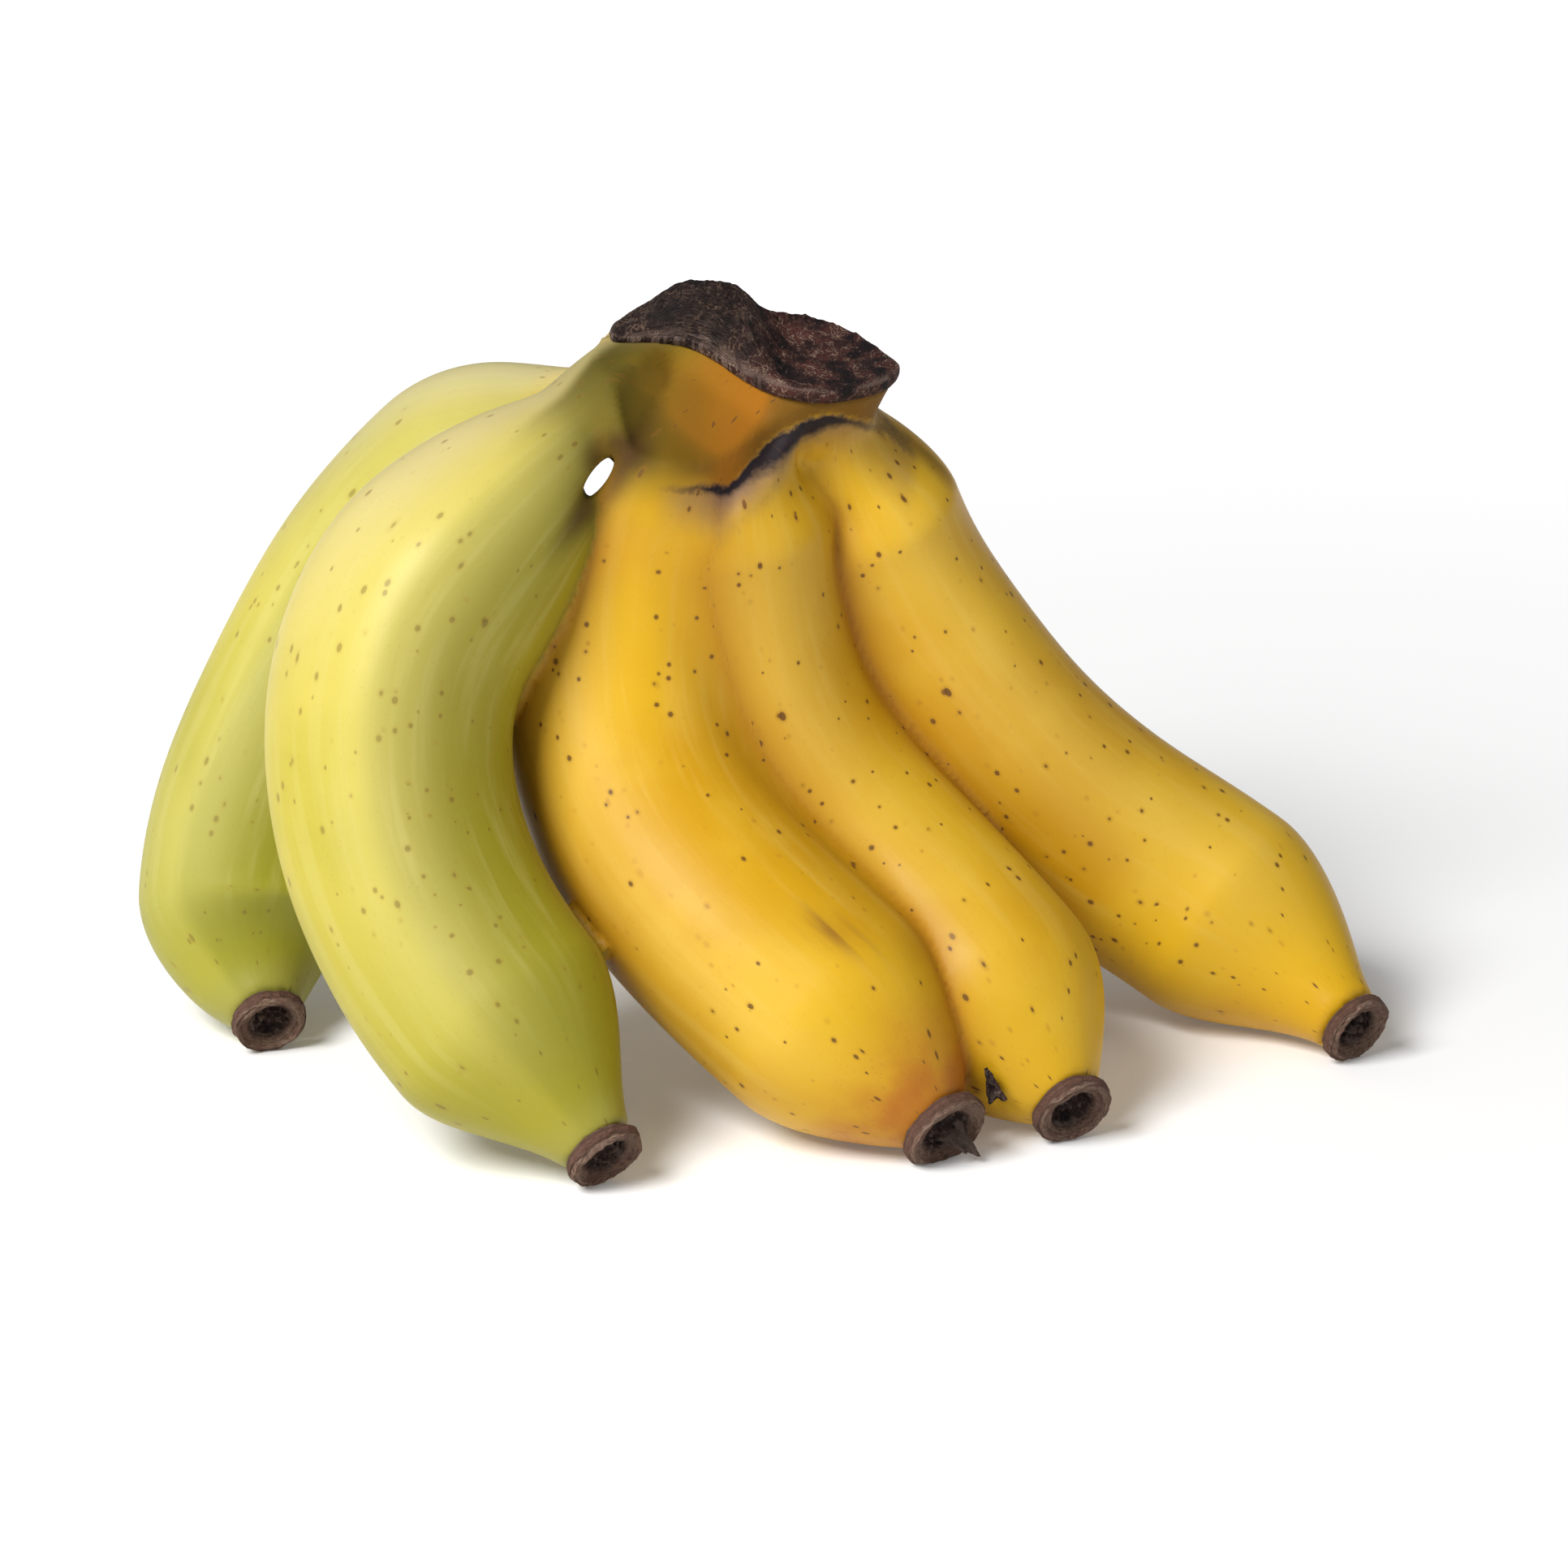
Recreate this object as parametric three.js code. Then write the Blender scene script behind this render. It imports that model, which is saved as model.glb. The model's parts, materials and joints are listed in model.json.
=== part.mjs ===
// A hand of five apple bananas, a short and plump dessert banana, grown together at one crown.
// It stands on the lower ends of its fingers with the crown on top.
// Millimetres, +Z up, +X along the row of fingers, the fingers' ends turned towards -Y.
//
// Pieces: the dried crown, five fingers with their stalks, the dried blossom end on each finger,
// and a dried scrap of flower stuck between the ends of the two middle fingers.

import * as THREE from 'three';

// ---------------------------------------------------------------- driving dimensions

const HAND_SHIFT = [-0.1, 10.9, -1.5]; // from the foot below the crown to the middle of the footprint

const GAP = 0.4;                    // air between pieces that touch
const SIDES = 36;                   // faces round a finger
const TURN = 34;                    // length of stalk over which the rings turn square to it
const TRACE_SIDES = 24;             // directions in which a ring is traced at first
const TRACE_SPLITS = 5;             // halvings between two of them
const TRACE_SPACING = 1;            // wanted between traced points
const CROWN_SIDES = 40;             // faces round the crown
const SAMPLE_SPACING = 1.6;         // between the samples along a finger's centreline
const CREASE_ROUND = 1.2;           // rounding where free skin turns into a pressed face

const CROWN_HEIGHT = 108;           // middle of the crown's underside above the ground
const CROWN_LEAN = [0.155, -0.225]; // how far its upward normal leans right and forwards
const LIP_HEIGHT = 1.6;             // thin dried rim all round the crown
const HUMP_HEIGHT = 5.6;            // the thick left half rises this much above the rim
const DISH_DEPTH = 1.5;             // the right half is hollow by this much

const END_RADIUS = 5.4;             // skin under a blossom end
const BLOSSOM_HEIGHT = 2.6;         // dried ring that stands on the end of each finger

// The crown's outline on its own plane, as right and back distances from its middle.
const CROWN_OUTLINE = [
  [-21.2, 2.2], [-16.5, 3.4], [-11.5, 4.6], [-7.5, 2.4], [-4, -2], [0.5, -6.6], [5, -8.6],
  [10.5, -8.4], [15.8, -5], [19.8, -0.5], [21.2, 4], [18.5, 8.5], [14, 13.8], [8, 16.6],
  [1, 15.8], [-6, 16.6], [-12.5, 16.6], [-18, 12], [-21.3, 6.5],
];
const CROWN_HUB = [-4, 10.5];       // the whole outline is seen from here

const GREEN_SKIN = 0xb9c04e;
const YELLOW_SKIN = 0xe9b52c;
const DRIED_CROWN = 0x43302d;
const DRIED_BLOSSOM = 0x6b5249;

// The fingers from left to right round the hand.
// girth: full radius. neck: the stalk's radius. shoulder: how far along it starts and stops
// swelling. taper: the length that narrows before the end. blunt: how bluntly it narrows.
// web: how much skin fills the fork to the next finger. crease: how much fills the crease between
// their bodies. tuck: how much fills the crease to the foot below the crown. nub: how far the
// dried core stands out. ridge: the way its sharpest edge faces at mid length. sharpness: height
// of its edges. root: where the stalk leaves the crown's plane. route: the centreline from there
// to the end, from the foot below the crown.
const FINGERS = [
  {
    name: 'green_back', skin: GREEN_SKIN, girth: 17.0, neck: 6.2, shoulder: [8, 44],
    taper: 21, blunt: 0.5, web: 4.5, crease: 0, tuck: 7, nub: 0.6,
    ridge: [-0.4, -0.8, 0.3], sharpness: 0.08,
    root: [-13.5, 13],
    route: [
      [-22.5, 12, 100], [-29.5, 15.5, 95], [-40, 19, 89.5], [-48.5, 21, 82], [-59, 21, 69.5],
      [-69, 18, 52], [-76.5, 15.5, 35.5], [-79.5, 12.5, 22], [-78.5, 6, 12.5], [-75.5, -2, 7.6],
    ],
  },
  {
    name: 'green_front', skin: GREEN_SKIN, girth: 17.4, neck: 6.8, shoulder: [8, 56],
    taper: 24, blunt: 0.35, web: 12, crease: 0, tuck: 7, nub: 0.4,
    ridge: [0.03, -0.95, 0.3], sharpness: 0.12,
    root: [-10, 7],
    route: [
      [-21.5, -2, 102.5], [-27, -7.5, 97.5], [-34, -13.5, 92.5], [-42, -18.5, 85],
      [-49.5, -22.5, 75.5], [-53, -27, 62.5], [-51, -32, 45.5], [-43, -38.5, 29.5],
      [-31, -47, 16.7], [-22.2, -54.5, 7.6],
    ],
  },
  {
    name: 'yellow_front', skin: YELLOW_SKIN, girth: 17.9, neck: 8.8, shoulder: [1, 25],
    taper: 24, blunt: 0.85, web: 10, crease: 5, tuck: 6, nub: 3.4,
    ridge: [-0.55, -0.8, 0.25], sharpness: 0.07,
    root: [-2, 1.5],
    route: [
      [-12, -3, 99], [-17.5, -2, 89], [-19.5, -3.5, 77], [-20, -7, 64.5], [-18.5, -12, 52.5],
      [-12.5, -19, 40], [-1.5, -27.5, 29.5], [14.2, -36.5, 17.4], [26.4, -45.5, 7.6],
    ],
  },
  {
    name: 'yellow_middle', skin: YELLOW_SKIN, girth: 17.3, neck: 8.2, shoulder: [3, 28],
    taper: 22, blunt: 0.85, web: 7, crease: 1, tuck: 1, nub: 0.8,
    ridge: [0.2, -0.9, 0.35], sharpness: 0.05,
    root: [4, 0.5],
    route: [
      [-4.5, -2.5, 99], [-6, 0, 86.5], [-4, 1, 70.5], [1, 0, 54], [11.5, -3, 39],
      [24.5, -11.5, 27], [34.5, -23.5, 19], [40.5, -31, 12.5], [45.5, -37.5, 7.6],
    ],
  },
  {
    name: 'yellow_back', skin: YELLOW_SKIN, girth: 17.4, neck: 7.8, shoulder: [4, 29],
    taper: 29, blunt: 0.3, web: 1, crease: 0, tuck: 0.5, nub: 1.2,
    ridge: [0.5, -0.8, 0.3], sharpness: 0.06,
    root: [9.5, 5],
    route: [
      [9.5, 9, 97], [12, 13.5, 87], [17, 15.5, 73.5], [26, 15.5, 59.5], [38, 15, 44.5],
      [52, 15.5, 32], [68, 14, 21.7], [81, 6, 13.9], [90.8, -5.5, 7.6],
    ],
  },
];

// ---------------------------------------------------------------- small helpers

const vector = (list) => new THREE.Vector3(...list);
const ramp = (from, to, value) => THREE.MathUtils.smoothstep(value, from, to);
const { lerp } = THREE.MathUtils;

// Smaller of two distances, with the corner between them filled over `blend`.
function softMin(a, b, blend) {
  const h = Math.max(blend - Math.abs(a - b), 0) / blend;
  return Math.min(a, b) - h * h * blend / 4;
}

// Closed skin over rings of equal count, from the middle of the first ring to that of the last.
// Each face between two rings is split along its shorter diagonal.
function loftRings(name, rings, startMiddle, endMiddle, material) {
  const count = rings[0].length;
  const points = rings.flat();
  const triangles = [];
  for (let ring = 0; ring + 1 < rings.length; ring += 1) {
    for (let side = 0; side < count; side += 1) {
      const near = ring * count + side;
      const beside = ring * count + (side + 1) % count;
      const [ahead, across] = [near + count, beside + count];
      if (points[near].distanceTo(points[across]) < points[beside].distanceTo(points[ahead])) {
        triangles.push(near, beside, across, near, across, ahead);
      } else {
        triangles.push(near, beside, ahead, beside, across, ahead);
      }
    }
  }
  const start = points.push(startMiddle) - 1;
  const end = points.push(endMiddle) - 1;
  const last = (rings.length - 1) * count;
  for (let side = 0; side < count; side += 1) {
    const next = (side + 1) % count;
    triangles.push(start, next, side, end, last + side, last + next);
  }
  const geometry = new THREE.BufferGeometry().setFromPoints(points);
  geometry.setIndex(triangles);
  geometry.computeVertexNormals();
  const mesh = new THREE.Mesh(geometry, material);
  mesh.name = name;
  return mesh;
}

// ---------------------------------------------------------------- crown plane

const crownUp = new THREE.Vector3(CROWN_LEAN[0], CROWN_LEAN[1], 1).normalize();
const crownRight = new THREE.Vector3(1, 0, 0).projectOnPlane(crownUp).normalize();
const crownBack = new THREE.Vector3().crossVectors(crownUp, crownRight);
const crownMiddle = new THREE.Vector3(0, 0, CROWN_HEIGHT);

function onCrown(right, back, up) {
  return crownMiddle.clone()
    .addScaledVector(crownRight, right)
    .addScaledVector(crownBack, back)
    .addScaledVector(crownUp, up);
}

const aboveCrown = (point) => point.clone().sub(crownMiddle).dot(crownUp);

const outline = new THREE.CatmullRomCurve3(
  CROWN_OUTLINE.map(([right, back]) => new THREE.Vector3(right, back, 0)), true, 'catmullrom', 0.5,
).getSpacedPoints(CROWN_SIDES).slice(0, CROWN_SIDES);

// Distance outside the crown's outline, measured along its plane.
function beyondOutline(right, back) {
  const place = new THREE.Vector3(right, back, 0);
  const onEdge = new THREE.Vector3();
  let nearest = Infinity;
  let within = false;
  outline.forEach((start, i) => {
    const end = outline[(i + 1) % CROWN_SIDES];
    new THREE.Line3(start, end).closestPointToPoint(place, true, onEdge);
    nearest = Math.min(nearest, onEdge.distanceTo(place));
    const level = (back - start.y) / (end.y - start.y);
    const straddles = (start.y > back) !== (end.y > back);
    if (straddles && right < lerp(start.x, end.x, level)) within = !within;
  });
  return within ? -nearest : nearest;
}

// The fused foot of the stalks hangs below the crown, set in a little from its rim. It reaches
// at least `foot` far out, drawing in with depth. The stalks reach no farther than `brim`, which
// opens with depth.
const RIM_OVERHANG = 0.7;
const FOOT_SLOPE = 0.3;
const FOOT_DEPTH = 11;              // below this it draws in faster
const FOOT_END_SLOPE = 1.2;
const BRIM_SLOPE = 0.5;
function crownFoot(point) {
  const offset = point.clone().sub(crownMiddle);
  const beyond = beyondOutline(offset.dot(crownRight), offset.dot(crownBack)) + RIM_OVERHANG;
  const depth = Math.max(-offset.dot(crownUp), 0);
  return {
    foot: beyond + FOOT_SLOPE * depth + FOOT_END_SLOPE * Math.max(depth - FOOT_DEPTH, 0),
    brim: beyond - BRIM_SLOPE * depth,
  };
}

// ---------------------------------------------------------------- one finger's own skin

const EDGES = 5;                    // blunt edges round a finger
const EDGE_NARROWNESS = 4;
const SIDE_EDGE_SHARE = 0.5;        // the other edges beside the sharpest one
const SHARING = 1;                  // a sample this much farther than the nearest still shares
const CHORD = 26;                   // longest chord that sets the tilt of a ring
const OVERRUN = 8;                  // samples of the straight run beyond each end

class Finger {
  constructor(spec) {
    Object.assign(this, spec);
    const points = [onCrown(...spec.root, -GAP), ...spec.route.map(vector)];
    const curve = new THREE.CatmullRomCurve3(points, false, 'catmullrom', 0.5);
    this.length = curve.getLength();
    const count = Math.round(this.length / SAMPLE_SPACING);
    this.step = this.length / count;
    this.centres = curve.getSpacedPoints(count);
    this.tangents = this.centres.map((_, i) => {
      const before = this.centres[Math.max(i - 1, 0)];
      const after = this.centres[Math.min(i + 1, count)];
      return after.clone().sub(before).normalize();
    });
    // a cross direction carried along the centreline without twisting
    let across = new THREE.Vector3(0, -1, 0);
    this.across = this.tangents.map((tangent) => {
      across = across.clone().projectOnPlane(tangent).normalize();
      return across;
    });
    // the centreline again, with some samples more beyond both of its ends
    const beyond = Array.from({ length: OVERRUN }, (_, i) => (i + 1) * this.step);
    const [first, last] = [this.centres[0], this.centres.at(-1)];
    this.line = [
      ...beyond.map((run) => first.clone().addScaledVector(this.tangents[0], -run)).reverse(),
      ...this.centres,
      ...beyond.map((run) => last.clone().addScaledVector(this.tangents.at(-1), run)),
    ];
    this.ridgeAngle = this.angleAt(Math.round(count / 2), vector(spec.ridge));
  }

  angleAt(sample, direction) {
    const aside = new THREE.Vector3().crossVectors(this.tangents[sample], this.across[sample]);
    return Math.atan2(direction.dot(aside), direction.dot(this.across[sample]));
  }

  radiusAt(place) {
    const body = lerp(this.neck, this.girth, ramp(...this.shoulder, place));
    const part = THREE.MathUtils.clamp((this.length - place) / this.taper, 0, 1);
    const narrowing = lerp(ramp(0, 1, part), 1 - (1 - part) ** 2, this.blunt);
    return lerp(END_RADIUS, body, narrowing);
  }

  // Share of the radius left by the blunt edges, which fade out towards both ends.
  edgesAt(angle, place) {
    const fade = ramp(8, 34, place) * ramp(2, 34, this.length - place);
    let height = -0.25;
    for (let edge = 0; edge < EDGES; edge += 1) {
      const turn = angle - this.ridgeAngle - edge / EDGES * 2 * Math.PI;
      height += (edge === 0 ? 1 : SIDE_EDGE_SHARE) * Math.exp(EDGE_NARROWNESS * (Math.cos(turn) - 1));
    }
    return 1 + fade * this.sharpness * height;
  }

  // How far a point is outside this finger's skin, and how far along the finger it is. All the
  // samples near it share in both, so that the skin stays smooth on the inside of a bend.
  measure(point) {
    const spans = this.line.map((centre) => point.distanceTo(centre));
    const shortest = Math.min(...spans);
    const centre = new THREE.Vector3();
    let total = 0;
    let place = 0;
    spans.forEach((span, i) => {
      const weight = Math.exp((shortest - span) / SHARING);
      total += weight;
      place += weight * (i - OVERRUN) * this.step;
      centre.addScaledVector(this.line[i], weight);
    });
    place = THREE.MathUtils.clamp(place / total, 0, this.length);
    const offset = point.clone().sub(centre.divideScalar(total));
    const angle = this.angleAt(Math.round(place / this.step), offset);
    const radius = this.radiusAt(place) * this.edgesAt(angle, place);
    return { distance: offset.length() - radius, place };
  }

  // Direction of a short chord of the centreline, which shrinks to nothing at both ends.
  chordAt(place) {
    const half = Math.min(CHORD / 2, place, this.length - place) + 0.01;
    const ahead = this.stationAt(Math.min(place + half, this.length)).centre;
    return ahead.clone().sub(this.stationAt(Math.max(place - half, 0)).centre).normalize();
  }

  // Centre and direction of the centreline at any place along it.
  stationAt(place) {
    const sample = Math.min(Math.floor(place / this.step), this.centres.length - 2);
    const part = place / this.step - sample;
    return {
      centre: this.centres[sample].clone().lerp(this.centres[sample + 1], part),
      tangent: this.tangents[sample].clone().lerp(this.tangents[sample + 1], part).normalize(),
      across: this.across[sample],
    };
  }
}

const fingers = FINGERS.map((spec) => new Finger(spec));

// ---------------------------------------------------------------- fingers grown together

const BRIM_OPENING = 0.06;          // the brim also opens along the stalks
const CROWN_GAP = 0.6;              // more air between the stalks just below the crown
const SEAM_SHARING = 2;             // fingers this much farther than the nearest share in that

// How widely skin fills the fork between a finger and the next: a web first, then a crease.
function forkFill(first, places) {
  const { web, crease, length } = fingers[first];
  const place = (places[first] + places[first + 1]) / 2;
  return 0.8 + Math.max(web * (1 - ramp(6, 30, place)), crease * ramp(10, 40, length - places[first]));
}

// Above zero outside finger `own`: `skin` is the skin of the whole hand, with its webs and the
// crown's foot, and `pressed` the flat faces where the finger is pressed against its neighbours.
function outside(own, point) {
  const measured = fingers.map((finger) => finger.measure(point));
  const distances = measured.map(({ distance }) => distance);
  const places = measured.map(({ place }) => place);
  const { foot, brim } = crownFoot(point);
  const nearest = Math.min(...distances);
  let skin = Math.min(nearest, foot);
  let [total, shared] = [0, 0];
  fingers.forEach(({ tuck }, i) => {
    const next = distances[i + 1] ?? Infinity;
    if (next < Infinity) skin = Math.min(skin, softMin(distances[i], next, forkFill(i, places)));
    skin = Math.min(skin, softMin(distances[i], foot, 1 + tuck * (1 - ramp(10, 24, places[i]))));
    const weight = Math.exp((nearest - distances[i]) / SEAM_SHARING);
    total += weight;
    shared += weight * places[i];
  });
  const limit = brim - BRIM_OPENING * (shared / total) ** 2;
  const mine = fingers.indexOf(own);
  const rival = Math.min(...distances.filter((_, i) => i !== mine));
  const gap = GAP + CROWN_GAP * (1 - ramp(14, 26, places[mine]));
  return { skin: Math.max(skin, limit), pressed: (distances[mine] - rival + gap) / 2 };
}

// The first place outside the finger from `centre` along `direction`, and whether a neighbour
// presses on the finger there.
function reachOut(finger, centre, direction) {
  const at = (reach) => {
    const point = centre.clone().addScaledVector(direction, reach);
    const { skin, pressed } = outside(finger, point);
    const isOutside = -softMin(-skin, -pressed, CREASE_ROUND) > 0 || aboveCrown(point) > 0.01 - GAP;
    return { point, pressed: pressed > skin, isOutside };
  };
  const stride = 0.8;
  const farthest = 34;              // the widest web reaches less far than this
  let low = 0;
  while (low < farthest && !at(low + stride).isOutside) low += stride;
  let high = low + stride;
  for (let halving = 0; halving < 9; halving += 1) {
    const middle = (low + high) / 2;
    if (at(middle).isOutside) high = middle; else low = middle;
  }
  return at(low);
}

// A ring of points round the finger in one plane. Its outline there is traced finely and shared
// out half by the turn and half by the way along it, so that thin webs get their share of points.
// The nearest point moves to each corner where a pressed face begins or ends.
function ringAround(finger, centre, normal, start) {
  const full = 2 * Math.PI;
  const spoke = (angle) => ({
    angle, ...reachOut(finger, centre, start.clone().applyAxisAngle(normal, angle)),
  });
  const trace = (from, to, splits) => {
    if (splits === 0 || from.point.distanceTo(to.point) < TRACE_SPACING) return [from];
    const middle = spoke((from.angle + to.angle) / 2);
    return [...trace(from, middle, splits - 1), ...trace(middle, to, splits - 1)];
  };
  const spokes = Array.from({ length: TRACE_SIDES + 1 }, (_, side) => spoke(side / TRACE_SIDES * full));
  const traced = spokes.slice(1).flatMap((to, side) => trace(spokes[side], to, TRACE_SPLITS));
  traced.push(spokes.at(-1));
  const ways = [0];
  traced.slice(1).forEach(({ point }, i) => ways.push(ways[i] + point.distanceTo(traced[i].point)));
  const shares = traced.map(({ angle }, i) => (angle / full + ways[i] / ways.at(-1)) / 2 * SIDES);
  const places = Array.from({ length: SIDES }, (_, side) => side);
  traced.slice(1).forEach(({ pressed }, i) => {
    if (pressed !== traced[i].pressed) places[Math.round(shares[i]) % SIDES] = shares[i];
  });
  return places.map((place) => {
    const next = Math.max(shares.findIndex((share) => share > place), 1);
    const part = (place - shares[next - 1]) / (shares[next] - shares[next - 1]);
    return traced[next - 1].point.clone().lerp(traced[next].point, part);
  });
}

// Places of the rings along a finger: close together at the stalk and at the end.
function ringPlaces(length) {
  const stalk = [0, 1.2, 2.7, 4.5, 6.6, 9, 11.8, 15, 18.6, 22.6, 27];
  const end = [22, 18, 14.6, 11.6, 9, 6.7, 4.6, 2.6, 0].map((left) => length - left);
  const [from, to, between] = [stalk.at(-1), end[0], 18];
  const body = Array.from({ length: between - 1 }, (_, i) => lerp(from, to, (i + 1) / between));
  return [...stalk, ...body, ...end];
}

function fingerMesh(finger, material) {
  const down = crownUp.clone().negate();
  const rings = ringPlaces(finger.length).map((place) => {
    const { centre, across } = finger.stationAt(place);
    // the first rings lie along the crown's underside and turn square to the finger by degrees,
    // and in a tight bend they turn more slowly than it does
    const normal = down.clone().lerp(finger.chordAt(place), ramp(0, TURN, place)).normalize();
    return ringAround(finger, centre, normal, across.clone().projectOnPlane(normal).normalize());
  });
  const [first, last] = [finger.centres[0], finger.centres.at(-1)];
  return loftRings(`finger_${finger.name}`, rings, first, last, material);
}

// ---------------------------------------------------------------- crown

// Dried, cut crown: a thick rounded hump on the left that runs into a dished oval on the right.
// `share` is how far out a place lies between the hub and the rim.
function crownTop(right, share) {
  const hump = HUMP_HEIGHT * ramp(-23, -11, right) * (1 - ramp(-5, 6, right)) * Math.sqrt(1 - share ** 4);
  const dished = ramp(-3, 6, right);
  return LIP_HEIGHT + hump + dished * (0.6 - DISH_DEPTH * (1 - share ** 3));
}

function crownMesh(material) {
  const ring = (share, height) => outline.map((rim) => {
    const right = lerp(CROWN_HUB[0], rim.x, share);
    const back = lerp(CROWN_HUB[1], rim.y, share);
    return onCrown(right, back, height ?? crownTop(right, share));
  }).reverse();
  const top = [0.25, 0.46, 0.64, 0.78, 0.88, 0.95, 0.985].map((share) => ring(share));
  const rim = [ring(1, 0.9), ring(0.99, 0.25), ring(0.97, 0)];
  const hub = (height) => onCrown(...CROWN_HUB, height);
  return loftRings('crown', [...top, ...rim], hub(crownTop(CROWN_HUB[0], 0)), hub(0), material);
}

// ---------------------------------------------------------------- dried flower parts

// The dried ring left by the flower: a lip round a sunken core with a small nub.
function blossomEnd(finger, material) {
  const base = END_RADIUS + 0.15;
  const nub = 1.6 + finger.nub;
  const profile = [
    [0, 0], [base * 0.9, 0], [base * 1.04, 0.5], [base * 1.06, 1.4], [base * 0.98, 2.3],
    [base * 0.84, BLOSSOM_HEIGHT], [base * 0.68, 2.1], [base * 0.5, 1.3], [base * 0.36, 1.5],
    [base * 0.2, nub], [0, nub + 0.3],
  ].map(([radius, height]) => new THREE.Vector2(radius, height));
  const mesh = new THREE.Mesh(new THREE.LatheGeometry(profile, 16), material);
  mesh.name = `blossom_end_${finger.name}`;
  const tangent = finger.tangents.at(-1);
  mesh.position.copy(finger.centres.at(-1)).addScaledVector(tangent, GAP);
  mesh.quaternion.setFromUnitVectors(new THREE.Vector3(0, 1, 0), tangent);
  return mesh;
}

// Where the skin lies on the side of a finger that faces a given way, near its end.
function onFlank(finger, fromEnd, facing) {
  const { centre, tangent } = finger.stationAt(finger.length - fromEnd);
  const outward = vector(facing).projectOnPlane(tangent).normalize();
  return reachOut(finger, centre, outward).point;
}

// A thin three-cornered scrap that lies on the flank of the middle finger, near its end.
function flowerScrap(finger, material) {
  const thickness = 0.8;
  const facing = [-0.66, -0.75, 0];
  const middle = onFlank(finger, 6.5, facing);
  const ahead = onFlank(finger, 4, facing).sub(middle).normalize();
  const below = onFlank(finger, 6.5, [-0.66, -0.75, -0.4]).sub(middle).normalize();
  const outward = new THREE.Vector3().crossVectors(below, ahead).normalize();
  const side = new THREE.Vector3().crossVectors(ahead, outward);
  const corners = new THREE.Shape([
    new THREE.Vector2(-3.2, -1.5), new THREE.Vector2(2.4, 1.7), new THREE.Vector2(-0.1, 3.5),
  ]);
  const geometry = new THREE.ExtrudeGeometry(corners, { depth: thickness, bevelEnabled: false });
  const mesh = new THREE.Mesh(geometry, material);
  mesh.name = 'dry_flower_scrap';
  mesh.quaternion.setFromRotationMatrix(new THREE.Matrix4().makeBasis(side, ahead, outward));
  mesh.position.copy(middle).addScaledVector(outward, 2 * GAP);
  return mesh;
}

// ---------------------------------------------------------------- assembly

const matte = (color, roughness) => new THREE.MeshStandardMaterial({ color, roughness, metalness: 0 });
const skins = new Map([[GREEN_SKIN, matte(GREEN_SKIN, 0.5)], [YELLOW_SKIN, matte(YELLOW_SKIN, 0.5)]]);
const driedBlossom = matte(DRIED_BLOSSOM, 0.9);

const hand = new THREE.Group();
hand.position.set(...HAND_SHIFT);
hand.add(crownMesh(matte(DRIED_CROWN, 0.85)));
for (const finger of fingers) {
  hand.add(fingerMesh(finger, skins.get(finger.skin)));
  hand.add(blossomEnd(finger, driedBlossom));
}
hand.add(flowerScrap(fingers.find(({ name }) => name === 'yellow_middle'), driedBlossom));

export default hand;
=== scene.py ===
import json
import math

import bpy
import numpy as np
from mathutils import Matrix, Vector, noise

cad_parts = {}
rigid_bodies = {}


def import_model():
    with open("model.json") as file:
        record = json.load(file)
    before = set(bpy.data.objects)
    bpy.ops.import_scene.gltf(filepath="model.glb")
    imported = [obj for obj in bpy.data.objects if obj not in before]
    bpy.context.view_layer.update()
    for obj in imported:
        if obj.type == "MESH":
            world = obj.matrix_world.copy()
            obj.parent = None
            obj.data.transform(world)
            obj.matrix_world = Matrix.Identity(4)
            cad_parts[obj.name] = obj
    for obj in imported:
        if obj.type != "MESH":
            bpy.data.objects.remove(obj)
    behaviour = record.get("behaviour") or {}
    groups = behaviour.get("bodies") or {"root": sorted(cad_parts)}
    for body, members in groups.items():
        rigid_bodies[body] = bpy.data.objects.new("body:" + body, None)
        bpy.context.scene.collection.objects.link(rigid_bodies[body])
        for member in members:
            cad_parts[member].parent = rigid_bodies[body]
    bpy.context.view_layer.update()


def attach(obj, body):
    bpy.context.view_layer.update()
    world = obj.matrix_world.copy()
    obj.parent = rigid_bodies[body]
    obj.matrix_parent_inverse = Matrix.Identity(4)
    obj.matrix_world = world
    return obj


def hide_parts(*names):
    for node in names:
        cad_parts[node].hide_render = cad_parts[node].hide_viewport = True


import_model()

# ------------------------------------------------------------------ camera
# A long lens looks down on the front of the hand from arm's length, and keeps some of the white
# floor in view all round it.
CAMERA_PLACE = (0.0041, -0.5977, 0.2403)
CAMERA_TILT = 18
LENS = 96.7

bpy.ops.object.camera_add(location=CAMERA_PLACE, rotation=(math.radians(90 - CAMERA_TILT), 0, 0))
camera = bpy.context.object
camera.name = "camera"
camera.data.lens = LENS
camera.data.sensor_width = 36
camera.data.clip_start = 0.01
bpy.context.scene.camera = camera

# ------------------------------------------------------------------ floor and light
# A seamless white sweep that glows as painted light, dimly near the hand and brightly farther out, a
# wide soft light high on the left, a weaker one on the right, and an even white surround that fills
# the shadows.
FLOOR_SIZE = 12
FLOOR_DROP = 0.0002
PAPER_GLOW = {"From Min": 0.1, "From Max": 0.9, "To Min": 0.1, "To Max": 1.0}
SURROUND_STRENGTH = 0.19
LIT_PLACE = Vector((0, 0, 0.05))

bpy.ops.mesh.primitive_plane_add(size=FLOOR_SIZE, location=(0, 0, -FLOOR_DROP))
floor = bpy.context.object
floor.name = "floor"
paper = bpy.data.materials.new("white_paper")
paper.use_nodes = True
sheet = paper.node_tree.nodes["Principled BSDF"]
sheet.inputs["Base Color"].default_value = (0.9, 0.9, 0.9, 1)
sheet.inputs["Roughness"].default_value = 0.9
sheet.inputs["Emission Strength"].default_value = 1
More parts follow.
